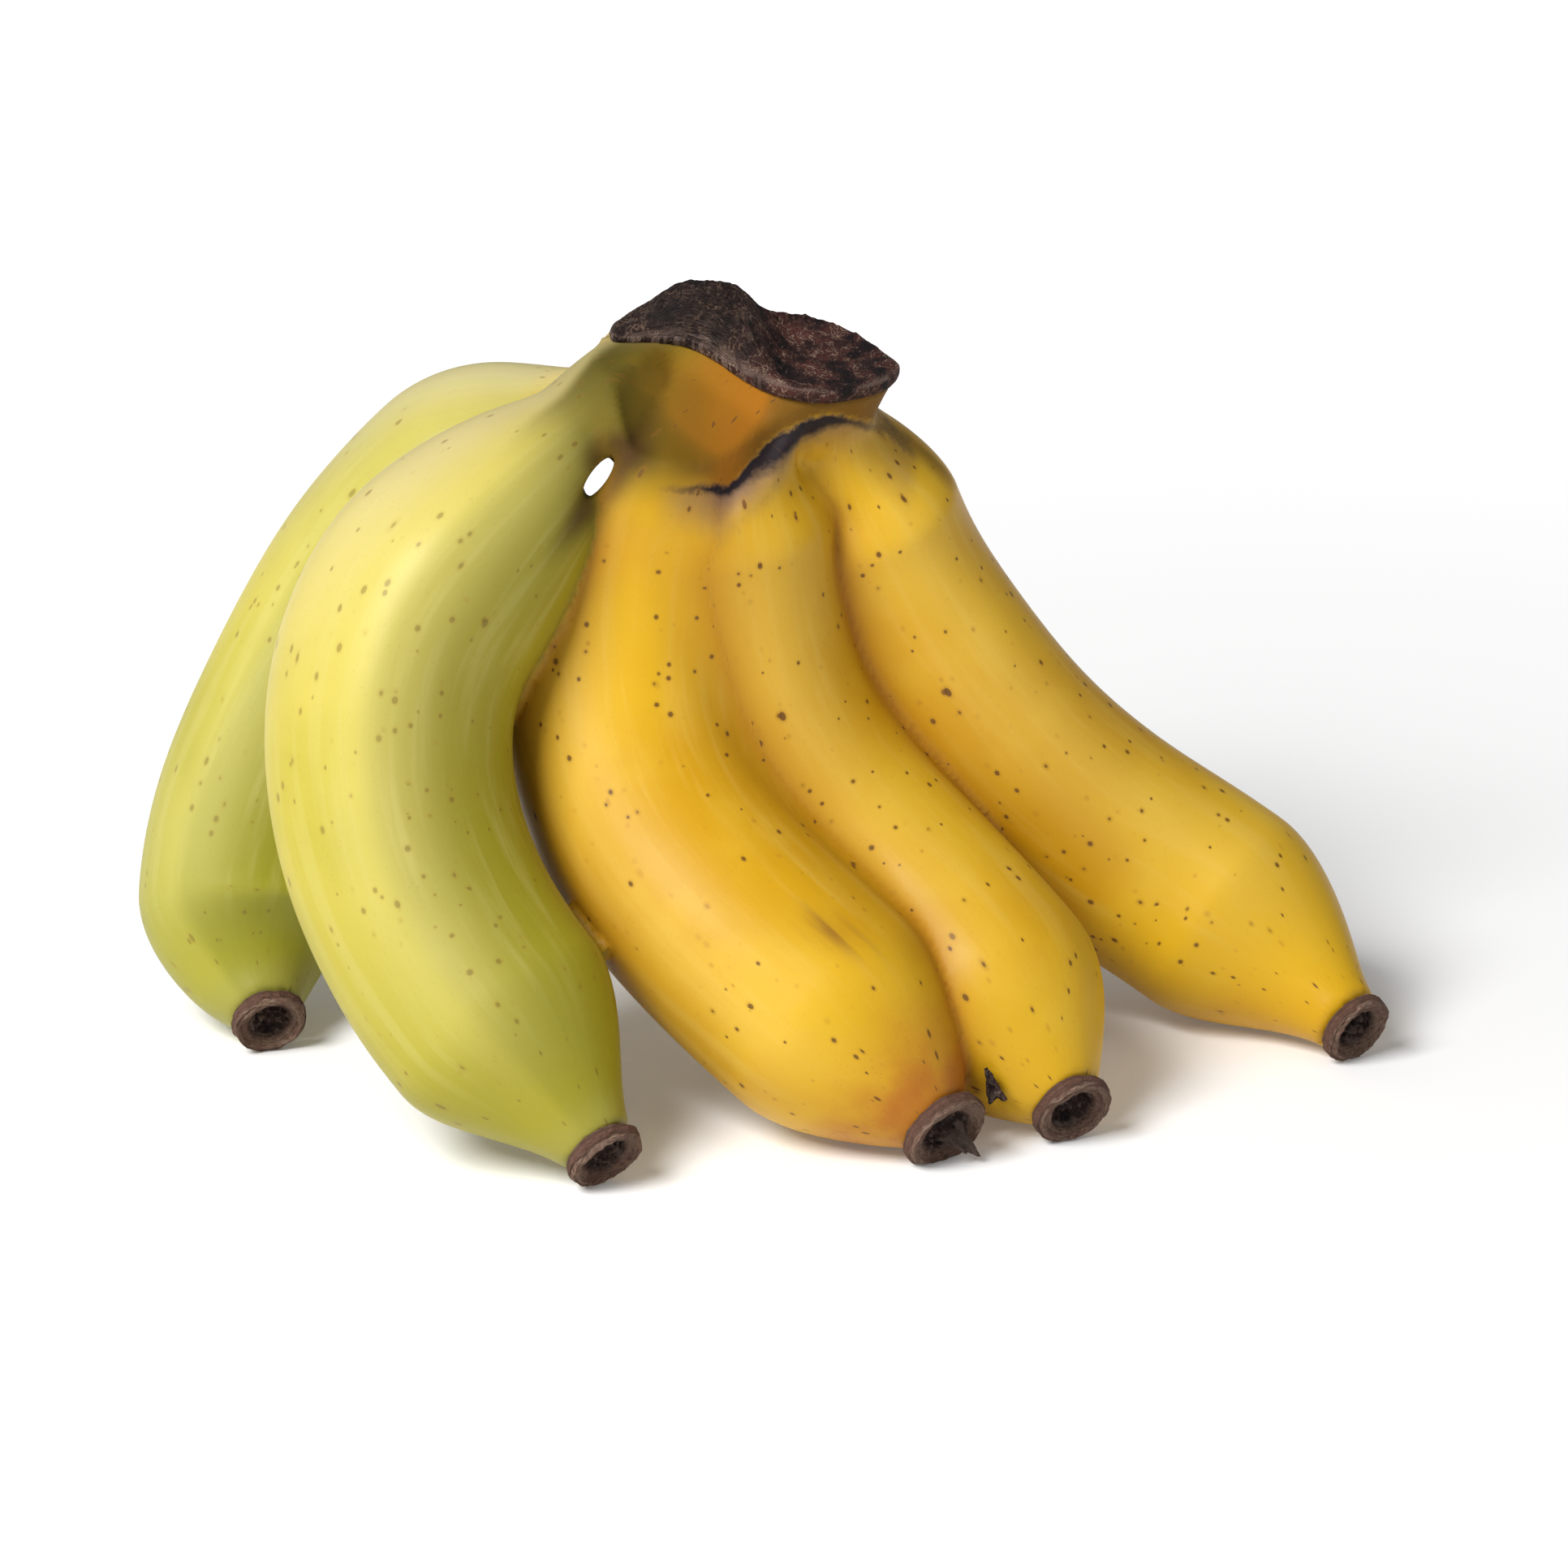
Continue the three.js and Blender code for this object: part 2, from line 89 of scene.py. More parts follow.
# the glow of the paper grows with the distance from the hand
place = paper.node_tree.nodes.new("ShaderNodeTexCoord")
distance = paper.node_tree.nodes.new("ShaderNodeVectorMath")
distance.operation = "LENGTH"
brighter = paper.node_tree.nodes.new("ShaderNodeMapRange")
for entry, value in PAPER_GLOW.items():
    brighter.inputs[entry].default_value = value
paper.node_tree.links.new(place.outputs["Object"], distance.inputs[0])
paper.node_tree.links.new(distance.outputs["Value"], brighter.inputs["Value"])
paper.node_tree.links.new(brighter.outputs[0], sheet.inputs["Emission Color"])
floor.data.materials.append(paper)


def soft_light(name, place, size, power):
    """A square area light that faces the lower middle of the hand."""
    bpy.ops.object.light_add(type="AREA", location=place)
    light = bpy.context.object
    light.name = name
    light.data.size = size
    light.data.energy = power
    aim = LIT_PLACE - Vector(place)
    light.rotation_euler = aim.to_track_quat("-Z", "Y").to_euler()


soft_light("key_light", place=(-0.5, -0.55, 0.75), size=0.45, power=14)
soft_light("fill_light", place=(0.9, -0.5, 0.5), size=0.9, power=1.5)

world = bpy.data.worlds.new("white_surround")
world.use_nodes = True
world.node_tree.nodes["Background"].inputs["Color"].default_value = (1, 1, 1, 1)
world.node_tree.nodes["Background"].inputs["Strength"].default_value = SURROUND_STRENGTH
bpy.context.scene.world = world
bpy.context.scene.view_settings.view_transform = "Standard"

# ------------------------------------------------------------------ the fingers' growth
# Every finger is a stalk that leaves the underside of the crown, swells into a plump curved
# body with five blunt edges, and narrows to the dried end of the flower. Lengths here are in
# millimetres from the foot below the crown; a mesh is turned into metres when it is written.
MM = 0.001
HAND_SHIFT = np.array([-0.1, 10.9, -1.5])
CROWN_HEIGHT = 108
CROWN_LEAN = (0.155, -0.225)
END_RADIUS = 5.4
EDGES = 5
EDGE_NARROWNESS = 7
EDGES_START = (8, 34)
EDGES_END = (2, 34)
SIDE_EDGE_SHARE = 0.4
SAMPLE_SPACING = 1.6
SHARING = 1.0
OVERRUN = 8
CHORD = 26

CROWN_OUTLINE = [
    (-21.2, 2.2), (-16.5, 3.4), (-11.5, 4.6), (-7.5, 2.4), (-4, -2), (0.5, -6.6), (5, -8.6),
    (10.5, -8.4), (15.8, -5), (19.8, -0.5), (21.2, 4), (18.5, 8.5), (14, 13.8), (8, 16.6),
    (1, 15.8), (-6, 16.6), (-12.5, 16.6), (-18, 12), (-21.3, 6.5),
]

# From left to right round the hand. root: where the stalk leaves the crown's plane. route: its
# centreline from there to the end. girth and neck: radius of the body and of the stalk.
# shoulder: where it starts and stops swelling. taper: length that narrows before the end.
# ridge: the way the sharpest edge faces at mid length. web: how much skin fills the fork to
# the next finger. crease: how much fills the crease to it. tuck: how much fills the crease to
# the foot under the crown. blunt: how bluntly it narrows. ripe: 0 green, 1 yellow.
# spike: the way a scrap in the dried end points round it and how tall it is.
# breadth and turned: how wide that end is and how far it turns to the front.
FINGERS = [
    dict(name="green_back", ripe=0.0, girth=17.0, neck=6.2, shoulder=(8, 44), taper=21,
         blunt=0.5, ridge=(-0.4, -0.8, 0.3), sharpness=0.08, web=4.5, crease=0, tuck=7,
         spike=(40, 0.8), breadth=1, turned=0.1, root=(-13.5, 13),
         route=[(-22.5, 12, 100), (-29.5, 15.5, 95), (-40, 19, 89.5), (-48.5, 21, 82),
                (-59, 21, 69.5), (-69, 18, 52), (-76.5, 15.5, 35.5), (-79.5, 12.5, 22),
                (-78.5, 6, 12.5), (-75.5, -2, 7.6)]),
    dict(name="green_front", ripe=0.08, girth=17.4, neck=6.8, shoulder=(8, 56), taper=24,
         blunt=0.35, ridge=(0.03, -0.95, 0.3), sharpness=0.15, web=12, crease=0, tuck=7,
         spike=(200, 0.5), breadth=1, turned=0.3, root=(-10, 7),
         route=[(-21.5, -2, 102.5), (-27, -7.5, 97.5), (-34, -13.5, 92.5), (-42, -18.5, 85),
                (-49.5, -22.5, 75.5), (-53, -27, 62.5), (-51, -32, 45.5), (-43, -38.5, 29.5),
                (-31, -47, 16.7), (-22.2, -54.5, 7.6)]),
    dict(name="yellow_front", ripe=1.0, girth=17.9, neck=8.8, shoulder=(1, 25), taper=24,
         blunt=0.85, ridge=(-0.55, -0.8, 0.25), sharpness=0.07, web=10, crease=5, tuck=6,
         spike=(203, 4.2), breadth=1.14, turned=0.4, root=(-2, 1.5),
         route=[(-12, -3, 99), (-17.5, -2, 89), (-19.5, -3.5, 77), (-20, -7, 64.5),
                (-18.5, -12, 52.5), (-12.5, -19, 40), (-1.5, -27.5, 29.5), (14.2, -36.5, 17.4),
                (26.4, -45.5, 7.6)]),
    dict(name="yellow_middle", ripe=1.0, girth=17.3, neck=8.2, shoulder=(3, 28), taper=22,
         blunt=0.85, ridge=(0.2, -0.9, 0.35), sharpness=0.05, web=7, crease=1, tuck=1,
         spike=(120, 0.6), breadth=1.05, turned=0.3, root=(4, 0.5),
         route=[(-4.5, -2.5, 99), (-6, 0, 86.5), (-4, 1, 70.5), (1, 0, 54), (11.5, -3, 39),
                (24.5, -11.5, 27), (34.5, -23.5, 19), (40.5, -31, 12.5), (45.5, -37.5, 7.6)]),
    dict(name="yellow_back", ripe=1.0, girth=17.4, neck=7.8, shoulder=(4, 29), taper=29,
         blunt=0.3, ridge=(0.5, -0.8, 0.3), sharpness=0.06, web=1, crease=0, tuck=0.5,
         spike=(0, 0.9), breadth=1, turned=0.1, root=(9.5, 5),
         route=[(9.5, 9, 97), (12, 13.5, 87), (17, 15.5, 73.5), (26, 15.5, 59.5),
                (38, 15, 44.5), (52, 15.5, 32), (68, 14, 21.7), (81, 6, 13.9),
                (90.8, -5.5, 7.6)]),
]


def ramp(low, high, value):
    """Rises smoothly from 0 to 1 as value goes from low to high."""
    share = np.clip((value - low) / (high - low), 0, 1)
    return share * share * (3 - 2 * share)


def soft_min(a, b, blend):
    """The smaller of two distances, with the corner between them filled over blend."""
    h = np.maximum(blend - np.abs(a - b), 0) / blend
    return np.minimum(a, b) - h * h * blend / 4


def unit(v):
    return v / np.linalg.norm(v, axis=-1, keepdims=True)


def even_curve(points, count, closed=False):
    """A smooth curve through the points, as count + 1 places evenly spaced along it."""
    points = np.asarray(points, float)
    if closed:
        around = np.vstack([points[-1:], points, points[:2]])
    else:
        around = np.vstack([2 * points[:1] - points[1:2], points, 2 * points[-1:] - points[-2:-1]])
    t = np.linspace(0, 1, 40, endpoint=False)[:, None]
    spans = []
    for p0, p1, p2, p3 in zip(around, around[1:], around[2:], around[3:]):
        spans.append(0.5 * (2 * p1 + (p2 - p0) * t + (2 * p0 - 5 * p1 + 4 * p2 - p3) * t ** 2
                            + (3 * p1 - p0 - 3 * p2 + p3) * t ** 3))
    dense = np.vstack(spans + [around[-2:-1]])
    run = np.concatenate([[0], np.cumsum(np.linalg.norm(np.diff(dense, axis=0), axis=1))])
    even = np.linspace(0, run[-1], count + 1)
    return np.stack([np.interp(even, run, axis) for axis in dense.T], axis=1), run[-1]


crown_up = unit(np.array([CROWN_LEAN[0], CROWN_LEAN[1], 1.0]))
crown_right = unit(np.array([1.0, 0, 0]) - crown_up[0] * crown_up)
crown_back = np.cross(crown_up, crown_right)
crown_middle = np.array([0, 0, CROWN_HEIGHT])


def on_crown(right, back, up):
    """A point given by how far it is right, back and up from the crown's middle."""
    right, back, up = (np.asarray(value, float)[..., None] for value in (right, back, up))
    return crown_middle + right * crown_right + back * crown_back + up * crown_up


def beyond_outline(right, back):
    """Distance outside the crown's outline, measured along its plane."""
    rim, _ = even_curve(CROWN_OUTLINE, 96, closed=True)
    starts, runs = rim[:-1], np.diff(rim, axis=0)
    place = np.stack([right, back], axis=-1)[:, None, :] - starts
    along = np.clip((place * runs).sum(-1) / (runs ** 2).sum(-1), 0, 1)
    nearest = np.linalg.norm(place - along[..., None] * runs, axis=-1).min(1)
    straddles = (place[..., 1] < 0) != (place[..., 1] < runs[:, 1])
    level = place[..., 1] / np.where(runs[:, 1] == 0, 1e-9, runs[:, 1])
    crossings = (straddles & (place[..., 0] < level * runs[:, 0])).sum(1)
    return np.where(crossings % 2 == 1, -nearest, nearest)


class Finger:
    """One finger's own skin, before it is grown together with its neighbours."""

    def __init__(self, number, spec):
        self.__dict__.update(spec)
        self.number = number
        start = on_crown(*self.root, -0.4)
        rough = np.vstack([start, self.route])
        _, length = even_curve(rough, 10)
        count = round(length / SAMPLE_SPACING)
        self.centres, self.length = even_curve(rough, count)
        self.step = self.length / count
        ends = np.arange(count + 1)
        self.tangents = unit(self.centres[np.minimum(ends + 1, count)]
                             - self.centres[np.maximum(ends - 1, 0)])
        across = np.array([0, -1.0, 0])
        carried = []
        for tangent in self.tangents:
            across = unit(across - (across @ tangent) * tangent)
            carried.append(across)
        self.across = np.array(carried)
        self.aside = np.cross(self.tangents, self.across)
        # the centreline again, with some samples more beyond both of its ends
        beyond = np.arange(1, OVERRUN + 1)[:, None] * self.step
        self.line = np.vstack([self.centres[0] - self.tangents[0] * beyond[::-1], self.centres,
                               self.centres[-1] + self.tangents[-1] * beyond])
        self.line_places = (np.arange(len(self.line)) - OVERRUN) * self.step
        middle = round(count / 2)
        ridge = np.array(self.ridge)
        self.ridge_angle = math.atan2(ridge @ self.aside[middle], ridge @ self.across[middle])

    def centre_at(self, place):
        sample = np.minimum((place / self.step).astype(int), len(self.centres) - 2)
        part = (place / self.step - sample)[:, None]
        return self.centres[sample] * (1 - part) + self.centres[sample + 1] * part

    def chord_at(self, place):
        """Direction of a short chord of the centreline, which shrinks to nothing at its ends."""
        half = np.minimum(CHORD / 2, np.minimum(place, self.length - place)) + 0.01
        return unit(self.centre_at(np.minimum(place + half, self.length))
                    - self.centre_at(np.maximum(place - half, 0)))

    def radius_at(self, place, angle):
        left = self.length - place
        body = self.neck + (self.girth - self.neck) * ramp(*self.shoulder, place)
        part = np.clip(left / self.taper, 0, 1)
        narrowing = ramp(0, 1, part) * (1 - self.blunt) + (1 - (1 - part) ** 2) * self.blunt
        fade = ramp(*EDGES_START, place) * ramp(*EDGES_END, left)
        return ((END_RADIUS + (body - END_RADIUS) * narrowing)
                * (1 + fade * self.sharpness * self.edges_at(angle)))

    def edges_at(self, angle):
        """Height of the blunt edges round the body, highest at the sharpest one."""
        height = np.full_like(angle, -0.2)
        for edge in range(EDGES):
            turn = angle - self.ridge_angle - edge / EDGES * 2 * math.pi
            share = 1 if edge == 0 else SIDE_EDGE_SHARE
            height += share * np.exp(EDGE_NARROWNESS * (np.cos(turn) - 1))
        return height

    def measure(self, points):
        """How far points are outside this finger, how far along it they lie, and at what angle
        round it. All the samples near a point share in these, so that the inside of a bend
        stays smooth."""
        square = ((points ** 2).sum(1)[:, None] + (self.line ** 2).sum(1)
                  - 2 * points @ self.line.T)
        spans = np.sqrt(np.maximum(square, 0)).astype(np.float32)
        weights = np.exp((spans.min(1, keepdims=True) - spans) / SHARING)
        weights = (weights / weights.sum(1, keepdims=True)).astype(float)
        run = weights @ self.line_places
        place = np.clip(run, 0, self.length)
        offset = points - weights @ self.line
        sample = np.rint(place / self.step).astype(int)
        angle = np.arctan2((offset * self.aside[sample]).sum(1),
                           (offset * self.across[sample]).sum(1))
        distance = np.linalg.norm(offset, axis=1) - self.radius_at(place, angle)
        return np.maximum(distance, run - self.length), place, angle


fingers = [Finger(number, spec) for number, spec in enumerate(FINGERS)]

# ------------------------------------------------------------------ the skin of the hand
# One waxy peel covers all five fingers, because they have grown together under the crown and
# their bodies are pressed together below it. Each finger is drawn out of a ball, the balls are
# grown into one closed skin, and the skin then settles into its webs and creases.
SIDES = 72
RINGS = 90
GRAIN = 0.92
SMOOTHING_ROUNDS = 3
PROBE = 0.02
LONGEST_STEP = 1.0

# The foot under the crown: how it draws in with depth, faster near its end, how far down it
# reaches, and the brim above it that keeps the stalks inside the crown's rim.
FAR_OUT = 60.0
FOOT_SLOPE = 0.3
FOOT_DEPTH = 11
FOOT_END_SLOPE = 1.2
FOOT_REACH = 30
BRIM_SLOPE = 0.5
RIM_OVERHANG = 0.7
BRIM_OPENING = 0.06
CAP_OVERLAP = 0.5

# At the front the foot hangs like an apron over the shoulders of the yellow fingers. Its fold
# has a rounded top right of the middle, slopes down to both sides, runs level on the left, and
# dips in a notch where the first two yellow fingers meet.
FOLD_TOP = 2.5
FOLD_TOP_AT = 11
FOLD_SLOPE = 0.75
FOLD_ROUNDING = 2
FOLD_LEVEL_FROM = -1.5
FOLD_NOTCH = 0.8
FOLD_NOTCH_AT = -2.5
FOLD_NOTCH_WIDTH = 2
APRON_DRAW_IN = 0.12
SHOULDER_FLARE = 1.6
APRON_CUT = 3.4
CUT_FROM_LEFT = (-12, 2)
CUT_TO_RIGHT = (12, 17)
CUT_TO_BACK = (2, 8)
CUT_FADE = 5
APRON_BLEND = 4
CUT_ROUNDING = 1.5

# Beside the front green finger's stalk a gap runs through the web, in the camera's line of
# sight. Its size is half its width, height and length, and it widens a little with depth.
FORK_HOLE = np.array([-22.7, -14.5, 95.5])
FORK_HOLE_RUN = unit(FORK_HOLE - (np.array(CAMERA_PLACE) / MM - HAND_SHIFT))
FORK_HOLE_TALL = (0.59, 0.22, 0.777)
FORK_HOLE_SIZE = (1.2, 3.5, 40)
GAP_OPENING = 0.016
GAP_ROUNDING = 1.5
CUTTER_START = 10
CUTTER_SPARE = (1.5, 1.15, 1)
GAP_TALL = unit(np.cross(FORK_HOLE_RUN, np.cross(FORK_HOLE_TALL, FORK_HOLE_RUN)))
GAP_AXES = np.array([np.cross(GAP_TALL, FORK_HOLE_RUN), GAP_TALL, FORK_HOLE_RUN])

# How far along a finger the fills of web and tuck fade out, and how far from its end the fill
# of a crease fades in.
WEB_FADE = (6, 30)
TUCK_FADE = (10, 24)
CREASE_FADE = (10, 40)
LEAST_FILL = 0.8


def fork_fill(first, second, places):
    """How widely skin fills the fork between two neighbours: a web first, then a crease."""
    place = (places[first.number] + places[second.number]) / 2
    web = first.web * (1 - ramp(*WEB_FADE, place))
    crease = first.crease * ramp(*CREASE_FADE, first.length - places[first.number])
    return LEAST_FILL + np.maximum(web, crease)


def measure_all(points):
    return map(np.array, zip(*(finger.measure(points) for finger in fingers)))


def fold_depth(right):
    """How far below the crown's plane the apron's fold hangs, from left to right."""
    away = np.maximum(right, FOLD_LEVEL_FROM) - FOLD_TOP_AT
    drop = np.sqrt(away ** 2 + FOLD_ROUNDING ** 2) - FOLD_ROUNDING
    notch = FOLD_NOTCH * np.exp(-((right - FOLD_NOTCH_AT) / FOLD_NOTCH_WIDTH) ** 2)
    return FOLD_TOP + FOLD_SLOPE * drop + notch


def common_skin(points):
    """Above zero outside the skin of the whole hand."""
    distances, places, _ = measure_all(points)
    offset = points - crown_middle
    above = offset @ crown_up
    depth = np.maximum(-above, 0)
    near = depth < FOOT_REACH
    beyond = np.full(len(points), FAR_OUT)
    beyond[near] = RIM_OVERHANG + beyond_outline(offset[near] @ crown_right,
                                                 offset[near] @ crown_back)
    foot = beyond + FOOT_SLOPE * depth + FOOT_END_SLOPE * np.maximum(depth - FOOT_DEPTH, 0)
    skin = np.minimum(distances.min(0), foot)
    for first, second in zip(fingers, fingers[1:]):
        skin = np.minimum(skin, soft_min(distances[first.number], distances[second.number],
                                         fork_fill(first, second, places)))
    for finger in fingers:
        fill = 1 + finger.tuck * (1 - ramp(*TUCK_FADE, places[finger.number]))
        skin = np.minimum(skin, soft_min(distances[finger.number], foot, fill))
    weights = np.exp(-(distances - distances.min(0)) / 2)
    place = (weights * places).sum(0) / weights.sum(0)
    brim = beyond - BRIM_SLOPE * depth - BRIM_OPENING * place ** 2
    skin = np.where(near, np.maximum(skin, brim), skin)
    right, back = offset @ crown_right, offset @ crown_back
    hang = fold_depth(right)
    # it draws in as far as its fold, and below that the shoulders flare out
    apron = (beyond + APRON_DRAW_IN * np.minimum(depth, hang)
             - SHOULDER_FLARE * np.maximum(depth - hang, 0))
    cut = (APRON_CUT * ramp(*CUT_FROM_LEFT, right) * (1 - ramp(*CUT_TO_RIGHT, right))
           * (1 - ramp(*CUT_TO_BACK, back)) * (1 - ramp(0, CUT_FADE, depth - hang)))
    carved = soft_min(apron, skin + cut, APRON_BLEND)
    # where nothing is cut there is next to no rounding, because the skin would meet itself
    rounding = 0.02 + CUT_ROUNDING * np.clip(cut, 0, 1)
    skin = np.where(near, np.maximum(skin, -soft_min(-carved, -skin, rounding)), skin)
    return np.maximum(skin, above - CAP_OVERLAP)


def beside_gap(points):
    """How far points are from the middle of the gap, 1 at its edge, and how deep inside."""
    aside = points - FORK_HOLE
    deep = aside @ FORK_HOLE_RUN
    wider = 1 + GAP_OPENING * np.clip(deep, 0, FORK_HOLE_SIZE[2])
    tall, wide = aside @ GAP_AXES[1] / wider, aside @ GAP_AXES[0] / wider
    return np.sqrt((tall / FORK_HOLE_SIZE[1]) ** 2 + (wide / FORK_HOLE_SIZE[0]) ** 2), deep


def pierced_skin(points):
    """Like common_skin, with the gap through which daylight shows cut out of it."""
    hole = 1 - beside_gap(points)[0]
    return -soft_min(-common_skin(points), -hole * FORK_HOLE_SIZE[0], GAP_ROUNDING)


def settle(points, field):
    """Moves points towards the nearest places where the field is zero."""
    height = field(points)
    slope = np.stack([field(points + axis * PROBE) - height for axis in np.eye(3)], 1) / PROBE
    step = np.clip(height / np.maximum((slope ** 2).sum(1), 0.5), -LONGEST_STEP, LONGEST_STEP)
    return points - slope * step[:, None]


def read_points(piece):
    held = np.empty(len(piece.data.vertices) * 3)
    piece.data.vertices.foreach_get("co", held)
    return held.reshape(-1, 3) / MM - HAND_SHIFT


def write_points(piece, points):
    piece.data.vertices.foreach_set("co", ((points + HAND_SHIFT) * MM).ravel())
    piece.data.update()


def smooth_outward(piece):
    """Turns all faces outwards and shades them smooth."""
    bpy.ops.object.mode_set(mode="EDIT")
    bpy.ops.mesh.select_all(action="SELECT")
    bpy.ops.mesh.normals_make_consistent(inside=False)
    bpy.ops.object.mode_set(mode="OBJECT")
    bpy.ops.object.shade_smooth()


def ball_grid(name, sides, rings):
    """A ball, with the number of each of its points by ring and side. A pole fills a ring."""
    bpy.ops.object.select_all(action="DESELECT")
    bpy.ops.mesh.primitive_uv_sphere_add(segments=sides, ring_count=rings, radius=1)
    piece = bpy.context.object
    piece.name = name
    ball = np.empty(len(piece.data.vertices) * 3)
    piece.data.vertices.foreach_get("co", ball)
    x, y, z = ball.reshape(-1, 3).T
    ring = np.round(np.arccos(np.clip(z, -1, 1)) / math.pi * rings).astype(int)
    side = np.round(np.arctan2(y, x) / (2 * math.pi) * sides).astype(int) % sides
    grid = np.zeros((rings + 1, sides), int)
    grid[ring, side] = np.arange(len(ring))
    grid[0], grid[-1] = np.argmin(ring), np.argmax(ring)
    return piece, grid


LEVELLING = 26
OVERLAP = 4
REACH_ROUNDS = 10
REACH_SHARE = 0.95
LONGEST_REACH = 40


def draw_out(finger):
    """Draws a ball out into one finger, as far as the skin of the whole hand."""
    piece, grid = ball_grid(finger.name, SIDES, RINGS)
    place = finger.length * np.clip((np.arange(RINGS + 1) - 1) / (RINGS - 2), 0, 1)
    # the first rings lie level under the crown and then turn across the finger
    lean = ramp(0, LEVELLING, place)[:, None]
    normal = unit(finger.chord_at(place) * lean - crown_up * (1 - lean))
    across = finger.across[np.rint(place / finger.step).astype(int)]
    start = unit(across - (across * normal).sum(1)[:, None] * normal)[:, None]
    aside = np.cross(normal, start[:, 0])[:, None]
    angle = (np.arange(SIDES) / SIDES * 2 * math.pi)[:, None]
    spokes = (start * np.cos(angle) + aside * np.sin(angle)).reshape(-1, 3)
    centres = np.repeat(finger.centre_at(place), SIDES, axis=0)
    reach = np.zeros(len(centres))
    for _ in range(REACH_ROUNDS):
        points = centres + spokes * reach[:, None]
        distances, _, _ = measure_all(points)
        passed = distances[finger.number] - np.delete(distances, finger.number, axis=0).min(0)
        height = np.maximum(common_skin(points), passed - OVERLAP)
        reach = np.clip(reach - REACH_SHARE * height, 0, LONGEST_REACH)
    placed = np.empty((len(piece.data.vertices), 3))
    points = (centres + spokes * reach[:, None]).reshape(RINGS + 1, SIDES, 3)
    points[0], points[-1] = points[0].mean(0), points[-1].mean(0)
    placed[grid] = points
    write_points(piece, placed)
    smooth_outward(piece)
    return piece


grown = [draw_out(finger) for finger in fingers]
bpy.ops.object.select_all(action="DESELECT")
for piece in grown:
    piece.select_set(True)
hand_skin = grown[0]
bpy.context.view_layer.objects.active = hand_skin
bpy.ops.object.join()
hand_skin.name = "hand_skin"


def grow_together(piece):
    """Grows everything in a piece that overlaps into one closed skin of even grain."""
    growing = piece.modifiers.new("growing_together", "REMESH")
    growing.mode = "VOXEL"
    growing.voxel_size = GRAIN * MM
    bpy.ops.object.modifier_apply(modifier=growing.name)


grow_together(hand_skin)

# the gap is cut with a long ball, a little larger than the gap itself, so that it stays open
gap, _ = ball_grid("fork_gap", sides=32, rings=24)
ball = (read_points(gap) + HAND_SHIFT) * MM
write_points(gap, FORK_HOLE + CUTTER_START * FORK_HOLE_RUN
             + ball * FORK_HOLE_SIZE * CUTTER_SPARE @ GAP_AXES)
bpy.ops.object.select_all(action="DESELECT")
hand_skin.select_set(True)
bpy.context.view_layer.objects.active = hand_skin
piercing = hand_skin.modifiers.new("piercing", "BOOLEAN")
piercing.operation = "DIFFERENCE"
piercing.object = gap
bpy.ops.object.modifier_apply(modifier=piercing.name)
bpy.data.objects.remove(gap)
grow_together(hand_skin)

# only the outer skin is kept
bpy.ops.object.mode_set(mode="EDIT")
bpy.ops.mesh.select_all(action="DESELECT")
bpy.ops.object.mode_set(mode="OBJECT")
topmost = int(read_points(hand_skin)[:, 2].argmax())
hand_skin.data.vertices[topmost].select = True
bpy.ops.object.mode_set(mode="EDIT")
bpy.ops.mesh.select_linked()
bpy.ops.mesh.select_all(action="INVERT")
bpy.ops.mesh.delete(type="VERT")
bpy.ops.object.mode_set(mode="OBJECT")

links = np.empty(len(hand_skin.data.edges) * 2, int)
hand_skin.data.edges.foreach_get("vertices", links)
links = links.reshape(-1, 2)
skin_points = settle(read_points(hand_skin), pierced_skin)
neighbours = np.bincount(links.ravel(), minlength=len(skin_points))
for _ in range(SMOOTHING_ROUNDS):
    pull = np.stack([np.bincount(links[:, 0], axis[links[:, 1]], len(axis))
                     + np.bincount(links[:, 1], axis[links[:, 0]], len(axis))
                     for axis in skin_points.T], 1) / neighbours[:, None]
    skin_points = settle((skin_points + pull) / 2, pierced_skin)
write_points(hand_skin, skin_points)
smooth_outward(hand_skin)


def set_attribute(piece, name, values):
    kind = "FLOAT_VECTOR" if values.ndim == 2 else "FLOAT"
    attribute = piece.data.attributes.new(name, kind, "POINT")
    attribute.data.foreach_set("vector" if values.ndim == 2 else "value",
                               values.astype(np.float32).ravel())


class Socket:
    """A shader value that can be used in Python sums."""

    def __init__(self, tree, socket):
        self.tree, self.socket = tree, socket

    def _math(self, operation, *values):
        return self.tree.node("ShaderNodeMath", {"operation": operation}, values)

    def __add__(self, other): return self._math("ADD", self, other)
    def __radd__(self, other): return self._math("ADD", other, self)
    def __sub__(self, other): return self._math("SUBTRACT", self, other)
    def __rsub__(self, other): return self._math("SUBTRACT", other, self)
    def __mul__(self, other): return self._math("MULTIPLY", self, other)
    def __rmul__(self, other): return self._math("MULTIPLY", other, self)
    def __truediv__(self, other): return self._math("DIVIDE", self, other)
    def power(self, other): return self._math("POWER", self, other)

    def ramp(self, low, high):
        """0 at low, 1 at high, smooth between."""
        return self.tree.node("ShaderNodeMapRange", {"interpolation_type": "SMOOTHSTEP"},
                              {"Value": self, "From Min": low, "From Max": high})


